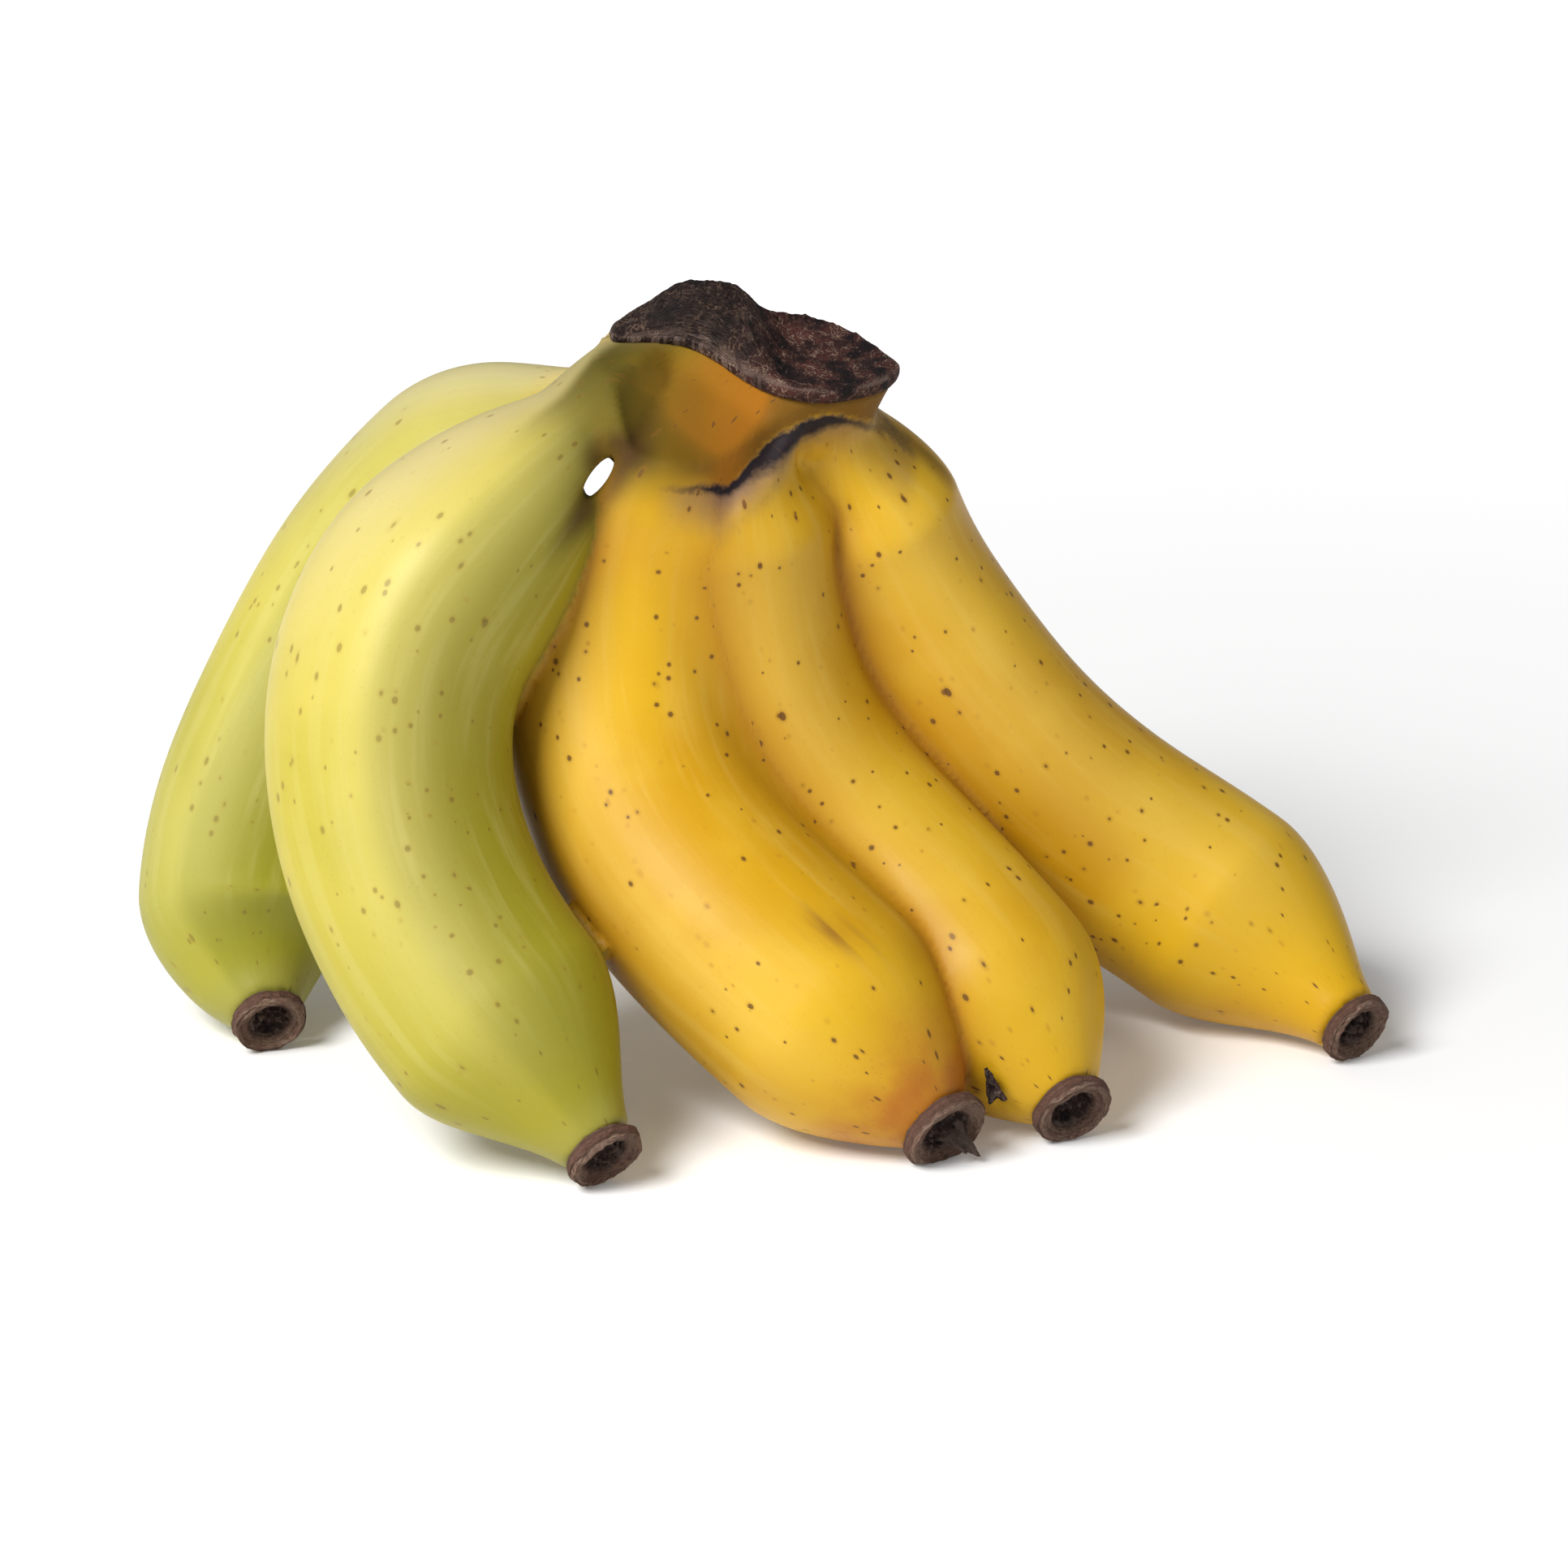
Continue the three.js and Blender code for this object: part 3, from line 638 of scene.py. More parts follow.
class Finish:
    """A material and the nodes that make it."""

    def __init__(self, name):
        self.material = bpy.data.materials.new(name)
        self.material.use_nodes = True
        self.nodes = self.material.node_tree.nodes
        self.links = self.material.node_tree.links
        self.shader = self.nodes["Principled BSDF"]

    def outputs(self, kind, settings=None, values=()):
        node = self.nodes.new(kind)
        for key, value in (settings or {}).items():
            setattr(node, key, value)
        pairs = values.items() if isinstance(values, dict) else enumerate(values)
        for key, value in pairs:
            self.feed(node.inputs[key], value)
        return [Socket(self, output) for output in node.outputs]

    def node(self, kind, settings=None, values=(), output=0):
        return self.outputs(kind, settings, values)[output]

    def feed(self, entry, value):
        if isinstance(value, Socket):
            self.links.new(value.socket, entry)
        elif isinstance(value, tuple) and entry.type == "RGBA" and len(value) == 3:
            entry.default_value = (*value, 1)
        else:
            entry.default_value = value

    def attribute(self, name, output=2):
        return self.node("ShaderNodeAttribute", {"attribute_name": name}, (), output)

    def mix(self, share, first, second, blend="MIX"):
        node = self.nodes.new("ShaderNodeMix")
        node.data_type, node.blend_type = "RGBA", blend
        for entry, value in zip((node.inputs[0], node.inputs[6], node.inputs[7]),
                                (share, first, second)):
            self.feed(entry, value)
        return Socket(self, node.outputs[2])

    def noise(self, vector, scale, detail=2, roughness=0.5):
        return self.node("ShaderNodeTexNoise", {}, {
            "Vector": vector, "Scale": scale, "Detail": detail, "Roughness": roughness})

    def shifted(self, vector, amount):
        return self.stretched(vector, (1, 1, 1), (amount, amount, amount))

    def stretched(self, vector, scale, shift=(0, 0, 0)):
        return self.node("ShaderNodeMapping", {}, {
            "Vector": vector, "Scale": scale, "Location": shift})

    def finish(self, **sockets):
        for name, value in sockets.items():
            self.feed(self.shader.inputs[name.replace("_", " ")], value)
        return self.material


# The stalk of the front green finger has a ridge. It lies this far right of the crown's middle,
# and farther right towards the back.
NECK_RIDGE_AT = -23
NECK_RIDGE_SLOPE = 0.53
FORK_SHADE_AT = np.array([-20, -14, 99.5])
BRUISE = np.array([11.4, -44, 36.5])
BRUISE_RUN = unit(np.array([7, -1.1, -3.3]))


def skin_material():
    """Waxy peel: green to yellow, speckled brown, browner along the seams, with painted shade in the
    creases, the fork and under the crown, and painted highlights on the lit sides and edges.
    """
    m = Finish("banana_peel")
    straight = m.attribute("straightened", 1)
    here = m.node("ShaderNodeTexCoord", {}, (), 3)
    ripe, seam, edge = m.attribute("ripe"), m.attribute("seam"), m.attribute("edge")
    along, inner, facing = m.attribute("along"), m.attribute("inner"), m.attribute("facing")
    below, band, strength = m.attribute("below"), m.attribute("band"), m.attribute("strength")
    fork_shade, crease = m.attribute("fork_shade"), m.attribute("crease")
    between, from_end = m.attribute("between"), m.attribute("from_end")
    bruised, blush = m.attribute("bruised"), m.attribute("blush")
    broad = m.noise(here, 28, 3)
    cloudy = m.noise(m.shifted(here, 3.7), 70, 3)
    drawn = m.noise(m.stretched(straight, (1, 1, 0.07)), 420, 3)

    green = m.mix(broad.ramp(0.35, 0.65), (0.375, 0.33, 0.026), (0.48, 0.41, 0.058))
    # painted highlight: the green fingers are paler on the side toward the light, away from their
    # ends
    pale = facing.ramp(0.45, 0.05) * (1 - along.ramp(0.25, 0.6)) * 0.7
    green = m.mix(pale, green, (0.55, 0.485, 0.29))
    # painted shade: the green fingers are darker green on the side turned from the light
    green = m.mix(facing.ramp(0.38, 0.52) * 0.8, green, (0.215, 0.20, 0.006))
    green = m.mix(from_end.ramp(0.007, 0.001) * 0.6, green, (0.34, 0.30, 0.13))
    green = m.mix(along.ramp(0.5, 0.95) * 0.6, green, (0.25, 0.25, 0.015))
    yellow = m.mix(broad.ramp(0.35, 0.65), (0.525, 0.275, 0.005), (0.615, 0.36, 0.012))
    yellow = m.mix(cloudy.ramp(0.5, 0.8) * 0.35, yellow, (0.66, 0.43, 0.04))
    color = m.mix(ripe, green, yellow)
    streak = drawn.ramp(0.45, 0.7) * (1 - along.ramp(0.8, 0.95)) * 0.25
    color = m.mix(streak, color, m.mix(ripe, (0.50, 0.46, 0.16), (0.66, 0.44, 0.09)))
    # painted highlight: paler along each finger's sharpest edge
    color = m.mix(edge * 0.35, color, m.mix(ripe, (0.56, 0.51, 0.20), (0.68, 0.47, 0.09)))

    # painted shade on the foot under the crown and on the shaded side of the green stalks, olive on
    # the green side and orange on the other
    painted_shade_under_crown = m.mix(ripe, (0.050, 0.047, 0.0006), (0.125, 0.054, 0.0006))
    # painted shade under the crown
    color = m.mix(inner * 0.95, color, painted_shade_under_crown)
    # painted shade, nearly black, deep in the fork beside the front green stalk and round and inside
    # the gap
    color = m.mix(fork_shade.ramp(0.1, 0.8) * (0.75 + cloudy * 0.3), color, (0.035, 0.014, 0.003))
    # painted shade: the yellow deepens to orange in the creases between fingers
    color = m.mix(between * ripe * 0.75, color, (0.37, 0.155, 0.002))
    # brown lines where fingers press together, and painted shade in the deepest of these creases
    pressed_line = m.mix(ripe, (0.14, 0.14, 0.01), (0.34, 0.12, 0.004))
    color = m.mix(seam.power(1.5) * 0.75, color, pressed_line)
    # painted shade deep in the creases
    color = m.mix(crease * 0.9, color, (0.21, 0.066, 0.002))
    # along the apron's fold: a greyish brown band for a few millimetres below it, and a near-black
    # line that is partly the peel's own dark fold and partly painted shade under the overhanging
    # apron
    ragged = below + (m.noise(here, 520, 4, 0.65) - 0.5) * 2
    dusky_below_fold = ragged.ramp(-0.8, 0.6) * (1 - ragged.ramp(1, 8)) * strength
    fold_line_and_shade = ragged.ramp(-0.8, 0.6) * (1 - (ragged / band).ramp(0.3, 1.7)) * strength
    color = m.mix(dusky_below_fold * (0.5 + cloudy.ramp(0.3, 0.7) * 0.5), color, (0.15, 0.095, 0.075))
    color = m.mix(fold_line_and_shade * (0.75 + cloudy), color, (0.012, 0.007, 0.009))
    color = m.mix(bruised * (0.3 + drawn.ramp(0.4, 0.6) * 0.6), color, (0.25, 0.11, 0.012))
    color = m.mix(blush * cloudy.ramp(0.25, 0.6) * 0.9, color, (0.38, 0.11, 0.010))

    # freckles: many small ones, fewer larger and longer ones with a softer brown border
    for scale, stretch, chance, low, high, share in (
            (520, 0.75, 0.66, 0.10, 0.24, 0.8), (230, 0.55, 0.62, 0.04, 0.12, 0.85)):
        span, tint, *_ = m.outputs("ShaderNodeTexVoronoi", {}, {
            "Vector": m.stretched(straight, (1, 1, stretch), (0, 0, scale)), "Scale": scale})
        chosen, size, _ = m.outputs("ShaderNodeSeparateColor", {}, [tint])
        radius = low + (high - low) * size
        near = (radius - span) / radius
        here_too = chosen.ramp(chance, chance + 0.01) * (0.45 + 0.55 * ripe)
        color = m.mix(near.ramp(-0.9, 0.3) * here_too * 0.4, color, (0.30, 0.13, 0.012))
        color = m.mix(near.ramp(-0.05, 0.25) * here_too * share, color,
                      m.mix(ripe, (0.075, 0.055, 0.012), (0.095, 0.036, 0.008)))
    fine = m.noise(m.shifted(straight, 1.3), 2300, 1)
    color = m.mix(fine.ramp(0.66, 0.72) * 0.35 * (blush + 0.25), color, (0.22, 0.09, 0.012))

    dulled = 0.2 * fold_line_and_shade + 0.25 * seam + 0.22 * inner + 0.2 * fork_shade
    roughness = 0.42 + 0.12 * (drawn - 0.5) + dulled
    normal = m.node("ShaderNodeBump", {}, {
        "Strength": 0.25, "Distance": 0.0004, "Height": drawn * 0.6 + cloudy * 0.8})
    return m.finish(Base_Color=color, Roughness=roughness, Normal=normal, Specular_IOR_Level=0.22)


# what the material needs to know about each place on the skin
distances, places, angles = measure_all(skin_points)
own = distances.argmin(0)
rows = np.arange(len(own))
place, angle = places[own, rows], angles[own, rows]
length = np.array([finger.length for finger in fingers])[own]
girth = np.array([finger.girth for finger in fingers])[own]
ridge = np.array([finger.ridge_angle for finger in fingers])[own]
behind = distances - distances.min(0)
shade_width = 0.2 + 6 * (1 - ramp(10, 34, place))
weights = np.exp(-behind / shade_width)
ripeness = np.array([finger.ripe for finger in fingers])[:, None]
to_neighbour = np.sort(distances, axis=0)[1]
fade = ramp(*EDGES_START, place) * ramp(*EDGES_END, length - place)
offset = skin_points - crown_middle
depth = -offset @ crown_up
# the dark line along the apron's fold, partly the peel's own colour and partly painted shade under
# the overhang: how far below the fold a place is, how wide the line is from left to right, and how
# strong
right, back = offset @ crown_right, offset @ crown_back
front = (1 - ramp(8, 11, back)) * (depth < 30)
below = depth - fold_depth(right)
band = np.interp(right, [-12, -9, -3, 1, 5, 10, 14, 25], [0.3, 0.6, 1.0, 1.7, 2.6, 3.0, 1.2, 0.6])
strength = np.interp(right, [-13, -9, -5, 12, 15, 25, 27], [0, 0.45, 1, 1, 0.7, 0.4, 0]) * front
softness = np.interp(right, [-12, -3], [5, 1])
on_apron = (1 - ramp(-softness, softness * 0.7, below)) * front
# painted shade on the inner side of the green stalks' ridge, which is turned from the light, and on
# the apron under the crown
neck_shade_side = ramp(-0.5, 2.3, right - NECK_RIDGE_AT - NECK_RIDGE_SLOPE * back)
inner = np.stack([neck_shade_side * (1 - ramp(14, 42, places[0])) * (1 - ramp(-4, 6, back)),
                  neck_shade_side * (1 - ramp(14, 42, places[1])),
                  on_apron, on_apron, on_apron])
inner = (weights * inner).sum(0) / weights.sum(0)
ripe = (weights * ripeness).sum(0) / weights.sum(0)
ripe = ripe + (ramp(-26, 2, right) * 0.9 + 0.1 - ripe) * on_apron * (1 - ramp(0, 6, back))
# painted shade in the fork between the front green finger and the first yellow one, round the gap
# and inside it
fork_shade = np.exp(-((np.linalg.norm((skin_points - FORK_SHADE_AT) * (0.8, 0.4, 1.3), axis=1)) / 4.6) ** 2)
gap_edge, gap_depth = beside_gap(skin_points)
right_of_gap = ramp(-1.5, 1.5, (skin_points - FORK_HOLE) @ GAP_AXES[0] * GAP_AXES[0, 0])
fork_shade = np.maximum(fork_shade, np.exp(-(gap_edge / 3.6) ** 2) * (0.35 + 0.65 * right_of_gap))
fork_shade = np.maximum(fork_shade, ramp(2, 6, gap_depth) * (gap_edge < 2))
first_two = np.sort(np.argsort(distances, axis=0)[:2], axis=0)
# painted shade in the creases, strongest between the middle and the back yellow finger
deep_crease_share = np.array([0.3, 0.15, 0.4, 1.0, 0.0])[first_two[0]] * (first_two[1] - first_two[0] == 1)
crease = deep_crease_share * np.exp(-np.maximum(to_neighbour, 0) / 0.9) * ramp(6, 16, place)
bruised = np.exp(-(np.linalg.norm(np.cross(skin_points - BRUISE, BRUISE_RUN), axis=1) / 2.8) ** 2
                 - ((skin_points - BRUISE) @ BRUISE_RUN / 6) ** 2)
blush = (own == 2) * (1 - ramp(2, 16, length - place))
for name, values in {
        "straightened": np.stack([np.cos(angle) * girth, np.sin(angle) * girth, place], 1) * MM,
        "ripe": ripe,
        "along": place / length,
        "from_end": (length - place) * MM,
        "seam": np.exp(-np.maximum(to_neighbour, 0) / 1.6),
        # painted shade in the creases between fingers
        "between": np.exp(-np.maximum(to_neighbour, 0) / 5) * ramp(8, 30, place),
        "edge": np.exp(10 * (np.cos(angle - ridge) - 1)) * fade,
        # painted shade under the crown and on the green stalks' shaded side
        "inner": inner,
        "below": below,
        "band": band,
        "strength": strength,
        "fork_shade": fork_shade,
        "crease": crease,
        # which side round its finger a place lies on, used to paint the lit and shaded sides
        "facing": 0.5 - 0.5 * np.sin(angle - ridge),
        "bruised": bruised,
        "blush": blush,
}.items():
    set_attribute(hand_skin, name, values)

hand_skin.data.materials.clear()
hand_skin.data.materials.append(skin_material())
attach(hand_skin, "root")
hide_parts(*("finger_" + finger.name for finger in fingers))

# ------------------------------------------------------------------ the crown
# Where the hand was cut from its stem it has dried to a dark cap: a rounded hump of fibres on
# the left that runs into a dished oval on the right, with a thin curled rim all round.
CROWN_SIDES = 220
CROWN_RINGS = 84
CROWN_TOP_RINGS = 70
CROWN_HUB = (-4, 10.5)
LIP_HEIGHT = 1.6
HUMP_HEIGHT = 5.6
DISH_DEPTH = 1.5


def crown_top(right, share):
    """Height of the cap, which depends on how far out from the hub to the rim a place is."""
    rounded = np.sqrt(np.clip(1 - share ** 4, 0, 1))
    hump = HUMP_HEIGHT * ramp(-23, -11, right) * (1 - ramp(-5, 6, right)) * rounded
    return LIP_HEIGHT + hump + ramp(-3, 6, right) * (0.6 - DISH_DEPTH * (1 - share ** 3))


def roughness_at(points, scale, seed, octaves=3):
    """Seeded noise between about -1 and 1 at every point."""
    shift = Vector((seed, -seed, 2 * seed))
    return np.array([noise.fractal(Vector(point) * scale + shift, 1.0, 2.0, octaves)
                     for point in points])


crown, grid = ball_grid("dried_crown", CROWN_SIDES, CROWN_RINGS)
rim, _ = even_curve(CROWN_OUTLINE, CROWN_SIDES, closed=True)
rim = rim[:-1]
outward = unit(np.roll(rim, -1, axis=0) - np.roll(rim, 1, axis=0))[:, ::-1] * (1, -1)
ring = np.arange(CROWN_RINGS + 1)[:, None]
share = np.clip(ring / CROWN_TOP_RINGS, 0, 1) ** 0.8
flat = np.array(CROWN_HUB) * (1 - share[..., None]) + rim * share[..., None]
right, back = flat[..., 0], flat[..., 1]
spot = np.stack([right, back, np.zeros_like(right)], -1).reshape(-1, 3)
turn = (np.arange(CROWN_SIDES) / CROWN_SIDES * 2 * math.pi)[None, :] + 0 * share
along_rim = np.stack([np.cos(turn) * 2.2, np.sin(turn) * 2.2, share * 17 + 0 * turn], -1)
lines = roughness_at(along_rim.reshape(-1, 3), 1.0, 3.1).reshape(right.shape)
coarse = roughness_at(spot, 0.35, 7.7).reshape(right.shape)
grains = roughness_at(spot, 1.6, 1.9, 4).reshape(right.shape)
humped = 1 - ramp(-6, 4, right)
middle = np.exp(-((right + 2) / 5) ** 2 - ((back - 1) / 6) ** 2)
fading = np.sqrt(np.clip(1 - share ** 6, 0, 1))
relief = (0.45 * lines * humped + 0.35 * coarse + 0.32 * grains * (1 - 0.5 * humped)
          + 1.1 * np.abs(coarse) * middle) * (0.25 + 0.75 * fading)
curl = np.exp(-((share - 0.965) / 0.022) ** 2) * (0.45 + 0.35 * coarse) * (1 - 0.6 * humped)
height = crown_top(right, share) + relief + curl
# past the rim the rings run down the edge and back under the cap
under = np.clip((ring - CROWN_TOP_RINGS) / (CROWN_RINGS - CROWN_TOP_RINGS), 0, 1)
wall = ramp(0, 0.5, under)
inward = ramp(0.5, 1, under)
height = height * (1 - wall)
bulge = (0.35 * np.sin(math.pi * np.clip(under * 2, 0, 1)) + 0.15 * coarse * (under > 0)
         - 0.5 * wall)
flat = flat + outward[None] * bulge[..., None] * (under > 0)[..., None]
flat = flat * (1 - inward[..., None]) + np.array(CROWN_HUB) * inward[..., None]
points = on_crown(flat[..., 0], flat[..., 1], height)
points[0], points[-1] = points[0].mean(0), points[-1].mean(0)
placed = np.empty((len(crown.data.vertices), 3))
placed[grid] = points
write_points(crown, placed)
smooth_outward(crown)
for name, values in {
        "fibres": humped,
        "relief": relief,
        "rim": ramp(0.972, 0.99, share) * (1 - ramp(0.02, 0.15, under)) + 0 * turn,
        "rightward": (right + 22) / 44,
        "around": np.stack([np.cos(turn), np.sin(turn), share * 7 + 0 * turn], -1)}.items():
    spread = np.zeros((len(crown.data.vertices), *values.shape[2:]))
    spread[grid] = values
    set_attribute(crown, name, spread)


def crown_material():
    """Dry, scarred tissue: reddish brown to black, with pale fibres and grey highlights."""
    m = Finish("dried_crown")
    here = m.node("ShaderNodeTexCoord", {}, (), 3)
    fibres, relief, rim = m.attribute("fibres"), m.attribute("relief"), m.attribute("rim")
    rightward, around = m.attribute("rightward"), m.attribute("around", 1)
    patches = m.noise(here, 190, 4, 0.6)
    speckle = m.noise(here, 1500, 4, 0.7)
    strands = m.noise(m.stretched(around, (1.5, 1.5, 9)), 6, 4, 0.65)
    bend = m.noise(m.shifted(here, 2.1), 620, 3, 0.55) - 0.5
    curly = (1 - (bend * bend).ramp(0.0001, 0.0012)) * patches.ramp(0.42, 0.6)
    color = m.mix(patches.ramp(0.35, 0.65), (0.008, 0.005, 0.006), (0.095, 0.030, 0.023))
    # painted highlight: grey streaks laid along the fibres of the hump on the left
    grey = m.mix(strands.ramp(0.47, 0.6), (0.011, 0.008, 0.009), (0.22, 0.165, 0.14))
    color = m.mix(fibres * 0.7, color, grey)
    color = m.mix(speckle.ramp(0.58, 0.68) * 0.6, color, (0.26, 0.155, 0.11))
    color = m.mix(curly * 0.8, color, (0.36, 0.235, 0.17))
    color = m.mix(patches.ramp(0.52, 0.62) * rightward.ramp(0.7, 0.95), color, (0.008, 0.006, 0.008))
    color = m.mix(relief.ramp(0.35, 0.9) * 0.3, color, (0.24, 0.16, 0.12))
    # the curled rim is lighter in patches: partly its own paler lip, partly a painted highlight
    color = m.mix(rim * patches.ramp(0.4, 0.6) * 0.5, color, (0.25, 0.175, 0.14))
    normal = m.node("ShaderNodeBump", {}, {
        "Strength": 1.0, "Distance": 0.0011,
        "Height": speckle + strands * fibres * 1.5 + curly * 0.7})
    return m.finish(Base_Color=color, Roughness=0.75 - 0.25 * fibres, Normal=normal,
                    Specular_IOR_Level=0.2)


crown.data.materials.append(crown_material())
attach(crown, "root")
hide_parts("crown")

# ------------------------------------------------------------------ the blossom ends
# Each finger ends in the dried ring of its flower: layered, gnarled and grey-brown outside, with
# a dark sunken core full of fibres. The middle one still holds a ragged spike.
END_SIDES = 96
END_RINGS = 64
END_BASE = 5.55
OFF_FLOOR = 0.06
END_PROFILE = [
    (0, 1.6), (0.1, 1.7), (0.22, 1.3), (0.38, 1.5), (0.52, 1.0), (0.66, 1.7), (0.72, 1.9),
    (0.78, 2.0), (0.86, 2.55), (0.92, 2.5), (0.99, 2.2), (1.05, 1.5), (1.04, 0.6), (0.97, 0.05),
    (0.85, 0), (0, 0),
]


def blossom_material():
    """Dry ring of flower remains, dark in its core and pale on its fibres."""
    m = Finish("dried_blossom")
    here = m.node("ShaderNodeTexCoord", {}, (), 3)
    outer, relief = m.attribute("outer"), m.attribute("relief")
    around = m.attribute("around", 1)
    patches = m.noise(here, 420, 3, 0.6)
    layers = m.noise(m.stretched(around, (1, 1, 5)), 5, 4, 0.6)
    speckle = m.noise(here, 2400, 3, 0.7)
    core = m.mix(patches.ramp(0.35, 0.7), (0.018, 0.011, 0.011), (0.075, 0.043, 0.036))
    core = m.mix(relief.ramp(0.15, 0.6) * 0.6, core, (0.21, 0.15, 0.12))
    ring = m.mix(layers.ramp(0.35, 0.65), (0.15, 0.085, 0.06), (0.42, 0.28, 0.205))
    ring = m.mix(patches.ramp(0.45, 0.7) * 0.6, ring, (0.19, 0.09, 0.066))
    color = m.mix(outer.ramp(0.5, 0.72), core, ring)
    color = m.mix(speckle.ramp(0.55, 0.75) * 0.4, color, (0.34, 0.26, 0.20))
    beneath = m.mix(layers, (0.07, 0.03, 0.02), (0.17, 0.095, 0.07))
    color = m.mix(outer.ramp(1.0, 1.05), color, beneath)
    normal = m.node("ShaderNodeBump", {}, {
        "Strength": 0.9, "Distance": 0.0007, "Height": layers * 1.5 + speckle * 0.5})
    return m.finish(Base_Color=color, Roughness=0.85, Normal=normal, Specular_IOR_Level=0.15)


def blossom_end(finger, material):
    piece, grid = ball_grid("blossom_" + finger.name, END_SIDES, END_RINGS)
    profile, _ = even_curve(END_PROFILE, END_RINGS)
    share, height = profile[:, :1], profile[:, 1:]
    share = np.maximum(share, 0)
    share[0], share[-1] = 0, 0
    turn = (np.arange(END_SIDES) / END_SIDES * 2 * math.pi)[None, :]
    spot = np.stack([share * np.cos(turn), share * np.sin(turn), 0.3 * height + 0 * turn], -1)
    seed = 11.3 * (finger.number + 1)
    coarse = roughness_at(spot.reshape(-1, 3), 2.2, seed).reshape(spot.shape[:2])
    gnarls = roughness_at(spot.reshape(-1, 3), 6.5, seed + 5, 4).reshape(spot.shape[:2])
    around = np.stack([0.8 * np.cos(turn) + 0 * share, 0.8 * np.sin(turn) + 0 * share,
                       share * 9 + 0 * turn], -1)
    layers = roughness_at(around.reshape(-1, 3), 1.0, seed).reshape(spot.shape[:2])
    upper = (np.arange(END_RINGS + 1)[:, None] < 0.62 * END_RINGS) * 1.0
    inner = 1 - ramp(0.45, 0.7, share)
    rings = 0.16 * np.sin(38 * share + 3 * layers)
    relief = upper * (inner * (0.9 * gnarls + 0.6 * coarse)
                      + (1 - inner) * (0.35 * layers + 0.2 * gnarls + rings))
    spike_turn = math.radians(finger.spike[0])
    toward = share * np.cos(turn - spike_turn)
    aside = share * np.sin(turn - spike_turn)
    spike = (finger.spike[1] * np.exp(-((toward - 0.35) / 0.22) ** 2 - (aside / 0.2) ** 2)
             * upper * (1 + 0.4 * gnarls))
    radius = END_BASE * finger.breadth * share * (1 + 0.05 * coarse * (share > 0.6))
    lift = np.maximum(height + relief, 0) + spike
    tangent = unit(finger.tangents[-1] + np.array([0, -finger.turned, 0]))
    first = unit(finger.across[-1] - (finger.across[-1] @ tangent) * tangent)
    flat = first, np.cross(tangent, first)
    middle = finger.centres[-1] + 0.4 * finger.tangents[-1]
    points = (middle + (radius * np.cos(turn))[..., None] * flat[0]
              + (radius * np.sin(turn))[..., None] * flat[1] + lift[..., None] * tangent)
    points = points + (spike * 0.5)[..., None] * (math.cos(spike_turn) * flat[0]
                                                 + math.sin(spike_turn) * flat[1])
    points[0], points[-1] = points[0].mean(0), points[-1].mean(0)
    points[..., 2] = np.maximum(points[..., 2], OFF_FLOOR - HAND_SHIFT[2])
    placed = np.empty((len(piece.data.vertices), 3))
    placed[grid] = points
    write_points(piece, placed)
    smooth_outward(piece)
    for name, values in {
            "outer": share + 0 * turn, "relief": relief + spike,
            "around": np.stack([np.cos(turn) + 0 * share, np.sin(turn) + 0 * share,
                                share * 4 + 0 * turn], -1)}.items():
        spread = np.zeros((len(piece.data.vertices), *values.shape[2:]))
        spread[grid] = values
        set_attribute(piece, name, spread)
    piece.data.materials.append(material)
    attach(piece, "root")
    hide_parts("blossom_end_" + finger.name)


dried_blossom = blossom_material()
for finger in fingers:
    blossom_end(finger, dried_blossom)

# ------------------------------------------------------------------ the flower scrap
# A thin, curled, three-cornered scrap of dried flower that lies on the flank of the fourth
# finger, just above its end and beside the end of the third.
SCRAP_CORNERS = ((-3.2, -1.5), (2.4, 1.7), (-0.1, 3.5))
SCRAP_FACING = (-0.66, -0.75, 0)
SCRAP_LOWER_FACING = (-0.66, -0.75, -0.4)
SCRAP_FROM_END = 6.5
SCRAP_THICKNESS = 0.6


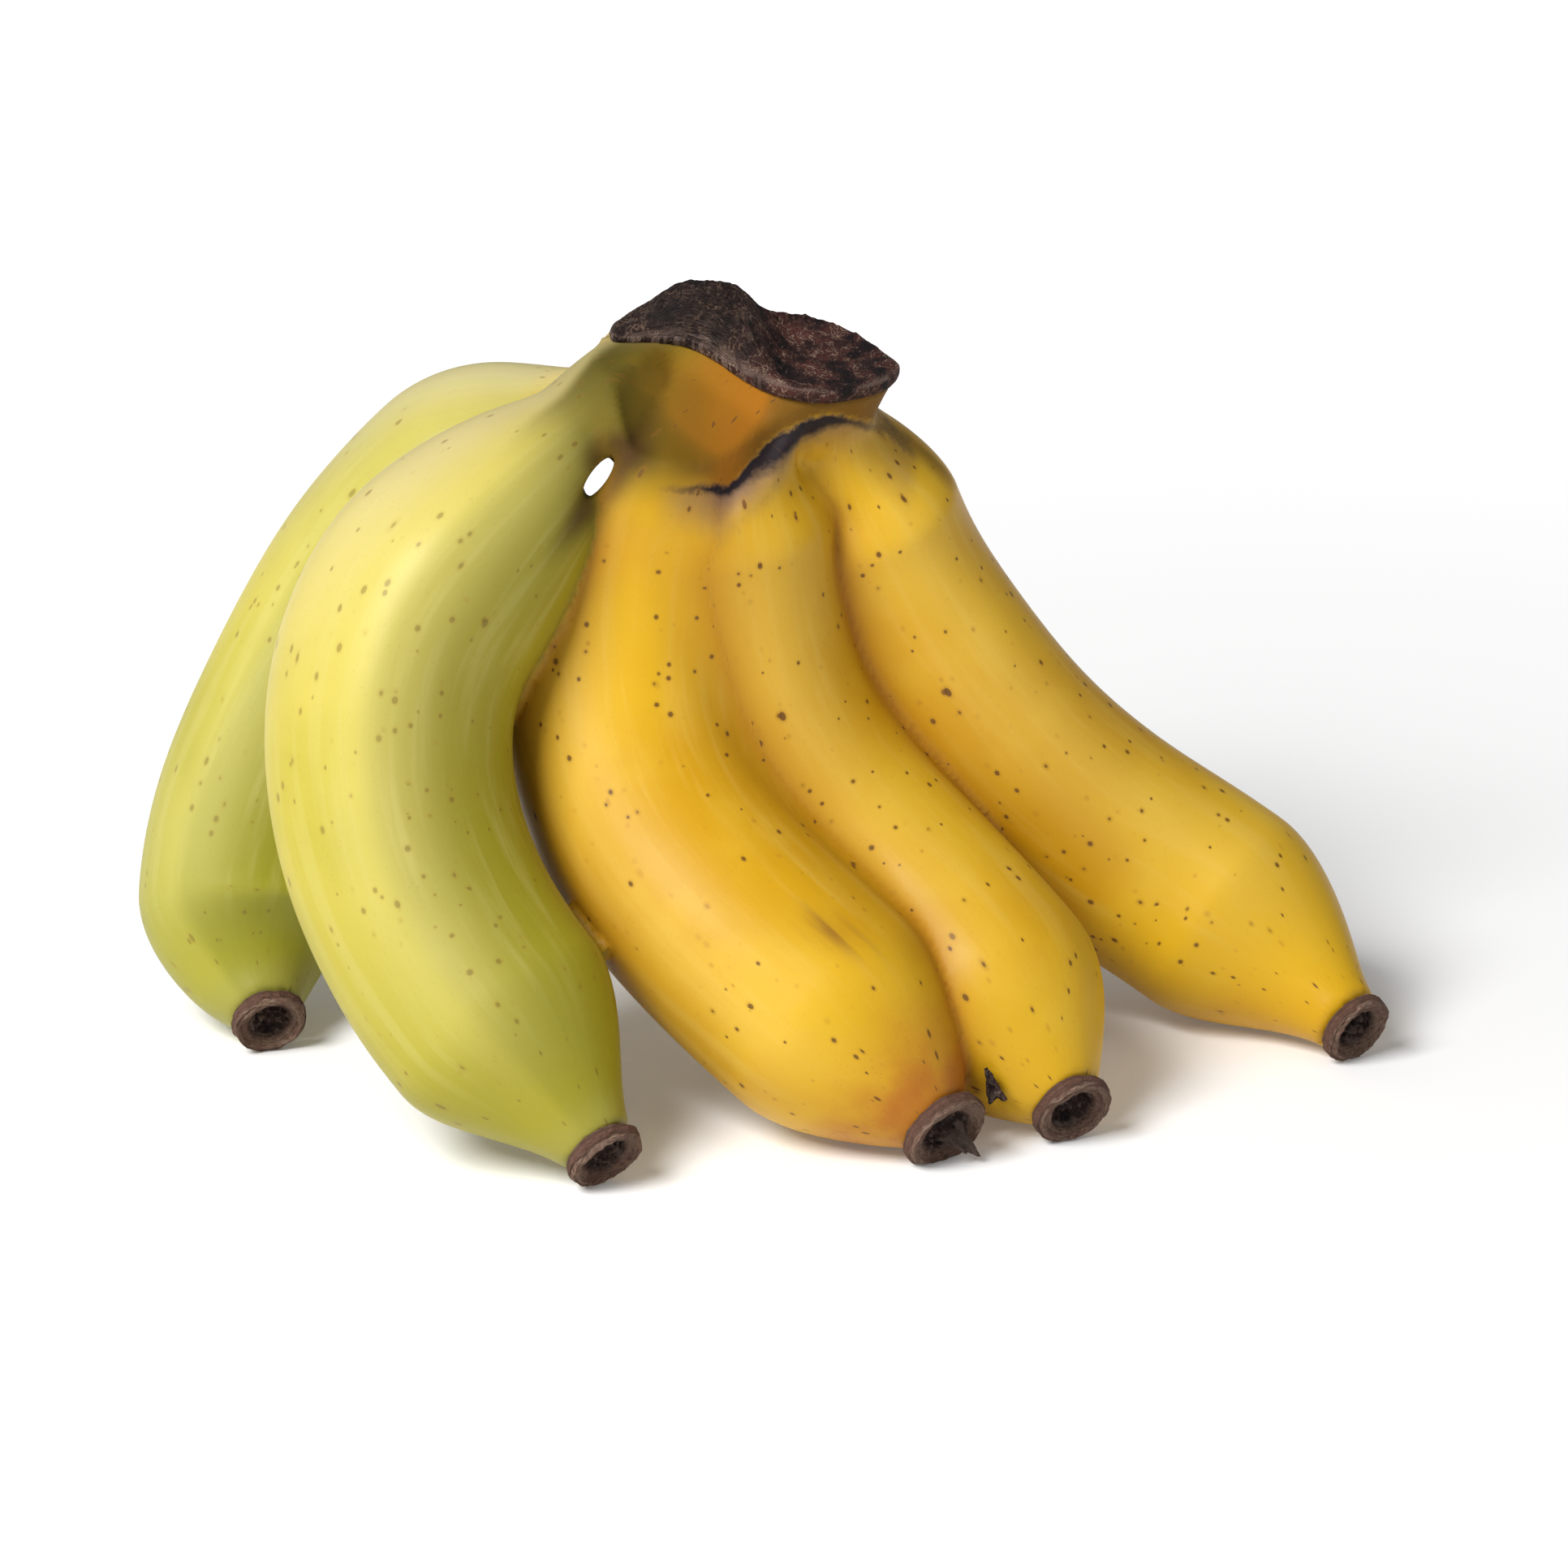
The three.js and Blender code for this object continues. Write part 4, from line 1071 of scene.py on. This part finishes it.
def on_flank(finger, from_end, facing):
    """Where the skin lies on the side of a finger that faces a given way."""
    place = np.array([finger.length - from_end])
    centre = finger.centre_at(place)[0]
    tangent = finger.tangents[int(place[0] / finger.step)]
    facing = np.array(facing, float)
    facing = unit(facing - (facing @ tangent) * tangent)
    reach = 0.0
    for _ in range(20):
        reach -= 0.9 * common_skin((centre + facing * reach)[None])[0]
    return centre + facing * reach


flank = fingers[3]
middle = on_flank(flank, SCRAP_FROM_END, SCRAP_FACING)
ahead = unit(on_flank(flank, 4, SCRAP_FACING) - middle)
below_it = unit(on_flank(flank, SCRAP_FROM_END, SCRAP_LOWER_FACING) - middle)
away = unit(np.cross(below_it, ahead))
side = np.cross(ahead, away)
bpy.ops.object.select_all(action="DESELECT")
bpy.ops.mesh.primitive_grid_add(x_subdivisions=28, y_subdivisions=28, size=2)
scrap = bpy.context.object
scrap.name = "dry_flower_scrap_skin"
u, v = (np.array([list(vertex.co[:2]) for vertex in scrap.data.vertices]).T + 1) / 2
apex, left_corner, right_corner = (np.array(corner) for corner in SCRAP_CORNERS)
base_line = left_corner * (1 - u[:, None]) + right_corner * u[:, None]
flat = apex * (1 - v[:, None]) + base_line * v[:, None]
spots = np.stack([u * 2.5 * v, v * 5, 0 * u], 1)
crumple = roughness_at(spots, 0.9, 21.0)
flat = flat + (crumple * 0.35 * v)[:, None] * (0.6, 0.8)
rise = 1.1 + 0.45 * crumple + 0.9 * (2 * u - 1) ** 2 * v
write_points(scrap, middle + flat[:, :1] * side + flat[:, 1:] * ahead + rise[:, None] * away)
thick = scrap.modifiers.new("thickness", "SOLIDIFY")
thick.thickness = SCRAP_THICKNESS * MM
thick.offset = 0
bpy.ops.object.modifier_apply(modifier=thick.name)
smooth_outward(scrap)
for name, values in {"outer": np.full(len(scrap.data.vertices), 0.3),
                     "relief": np.resize(crumple, len(scrap.data.vertices)),
                     "around": np.resize(spots, (len(scrap.data.vertices), 3))}.items():
    set_attribute(scrap, name, values)
scrap.data.materials.append(dried_blossom)
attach(scrap, "root")
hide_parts("dry_flower_scrap")
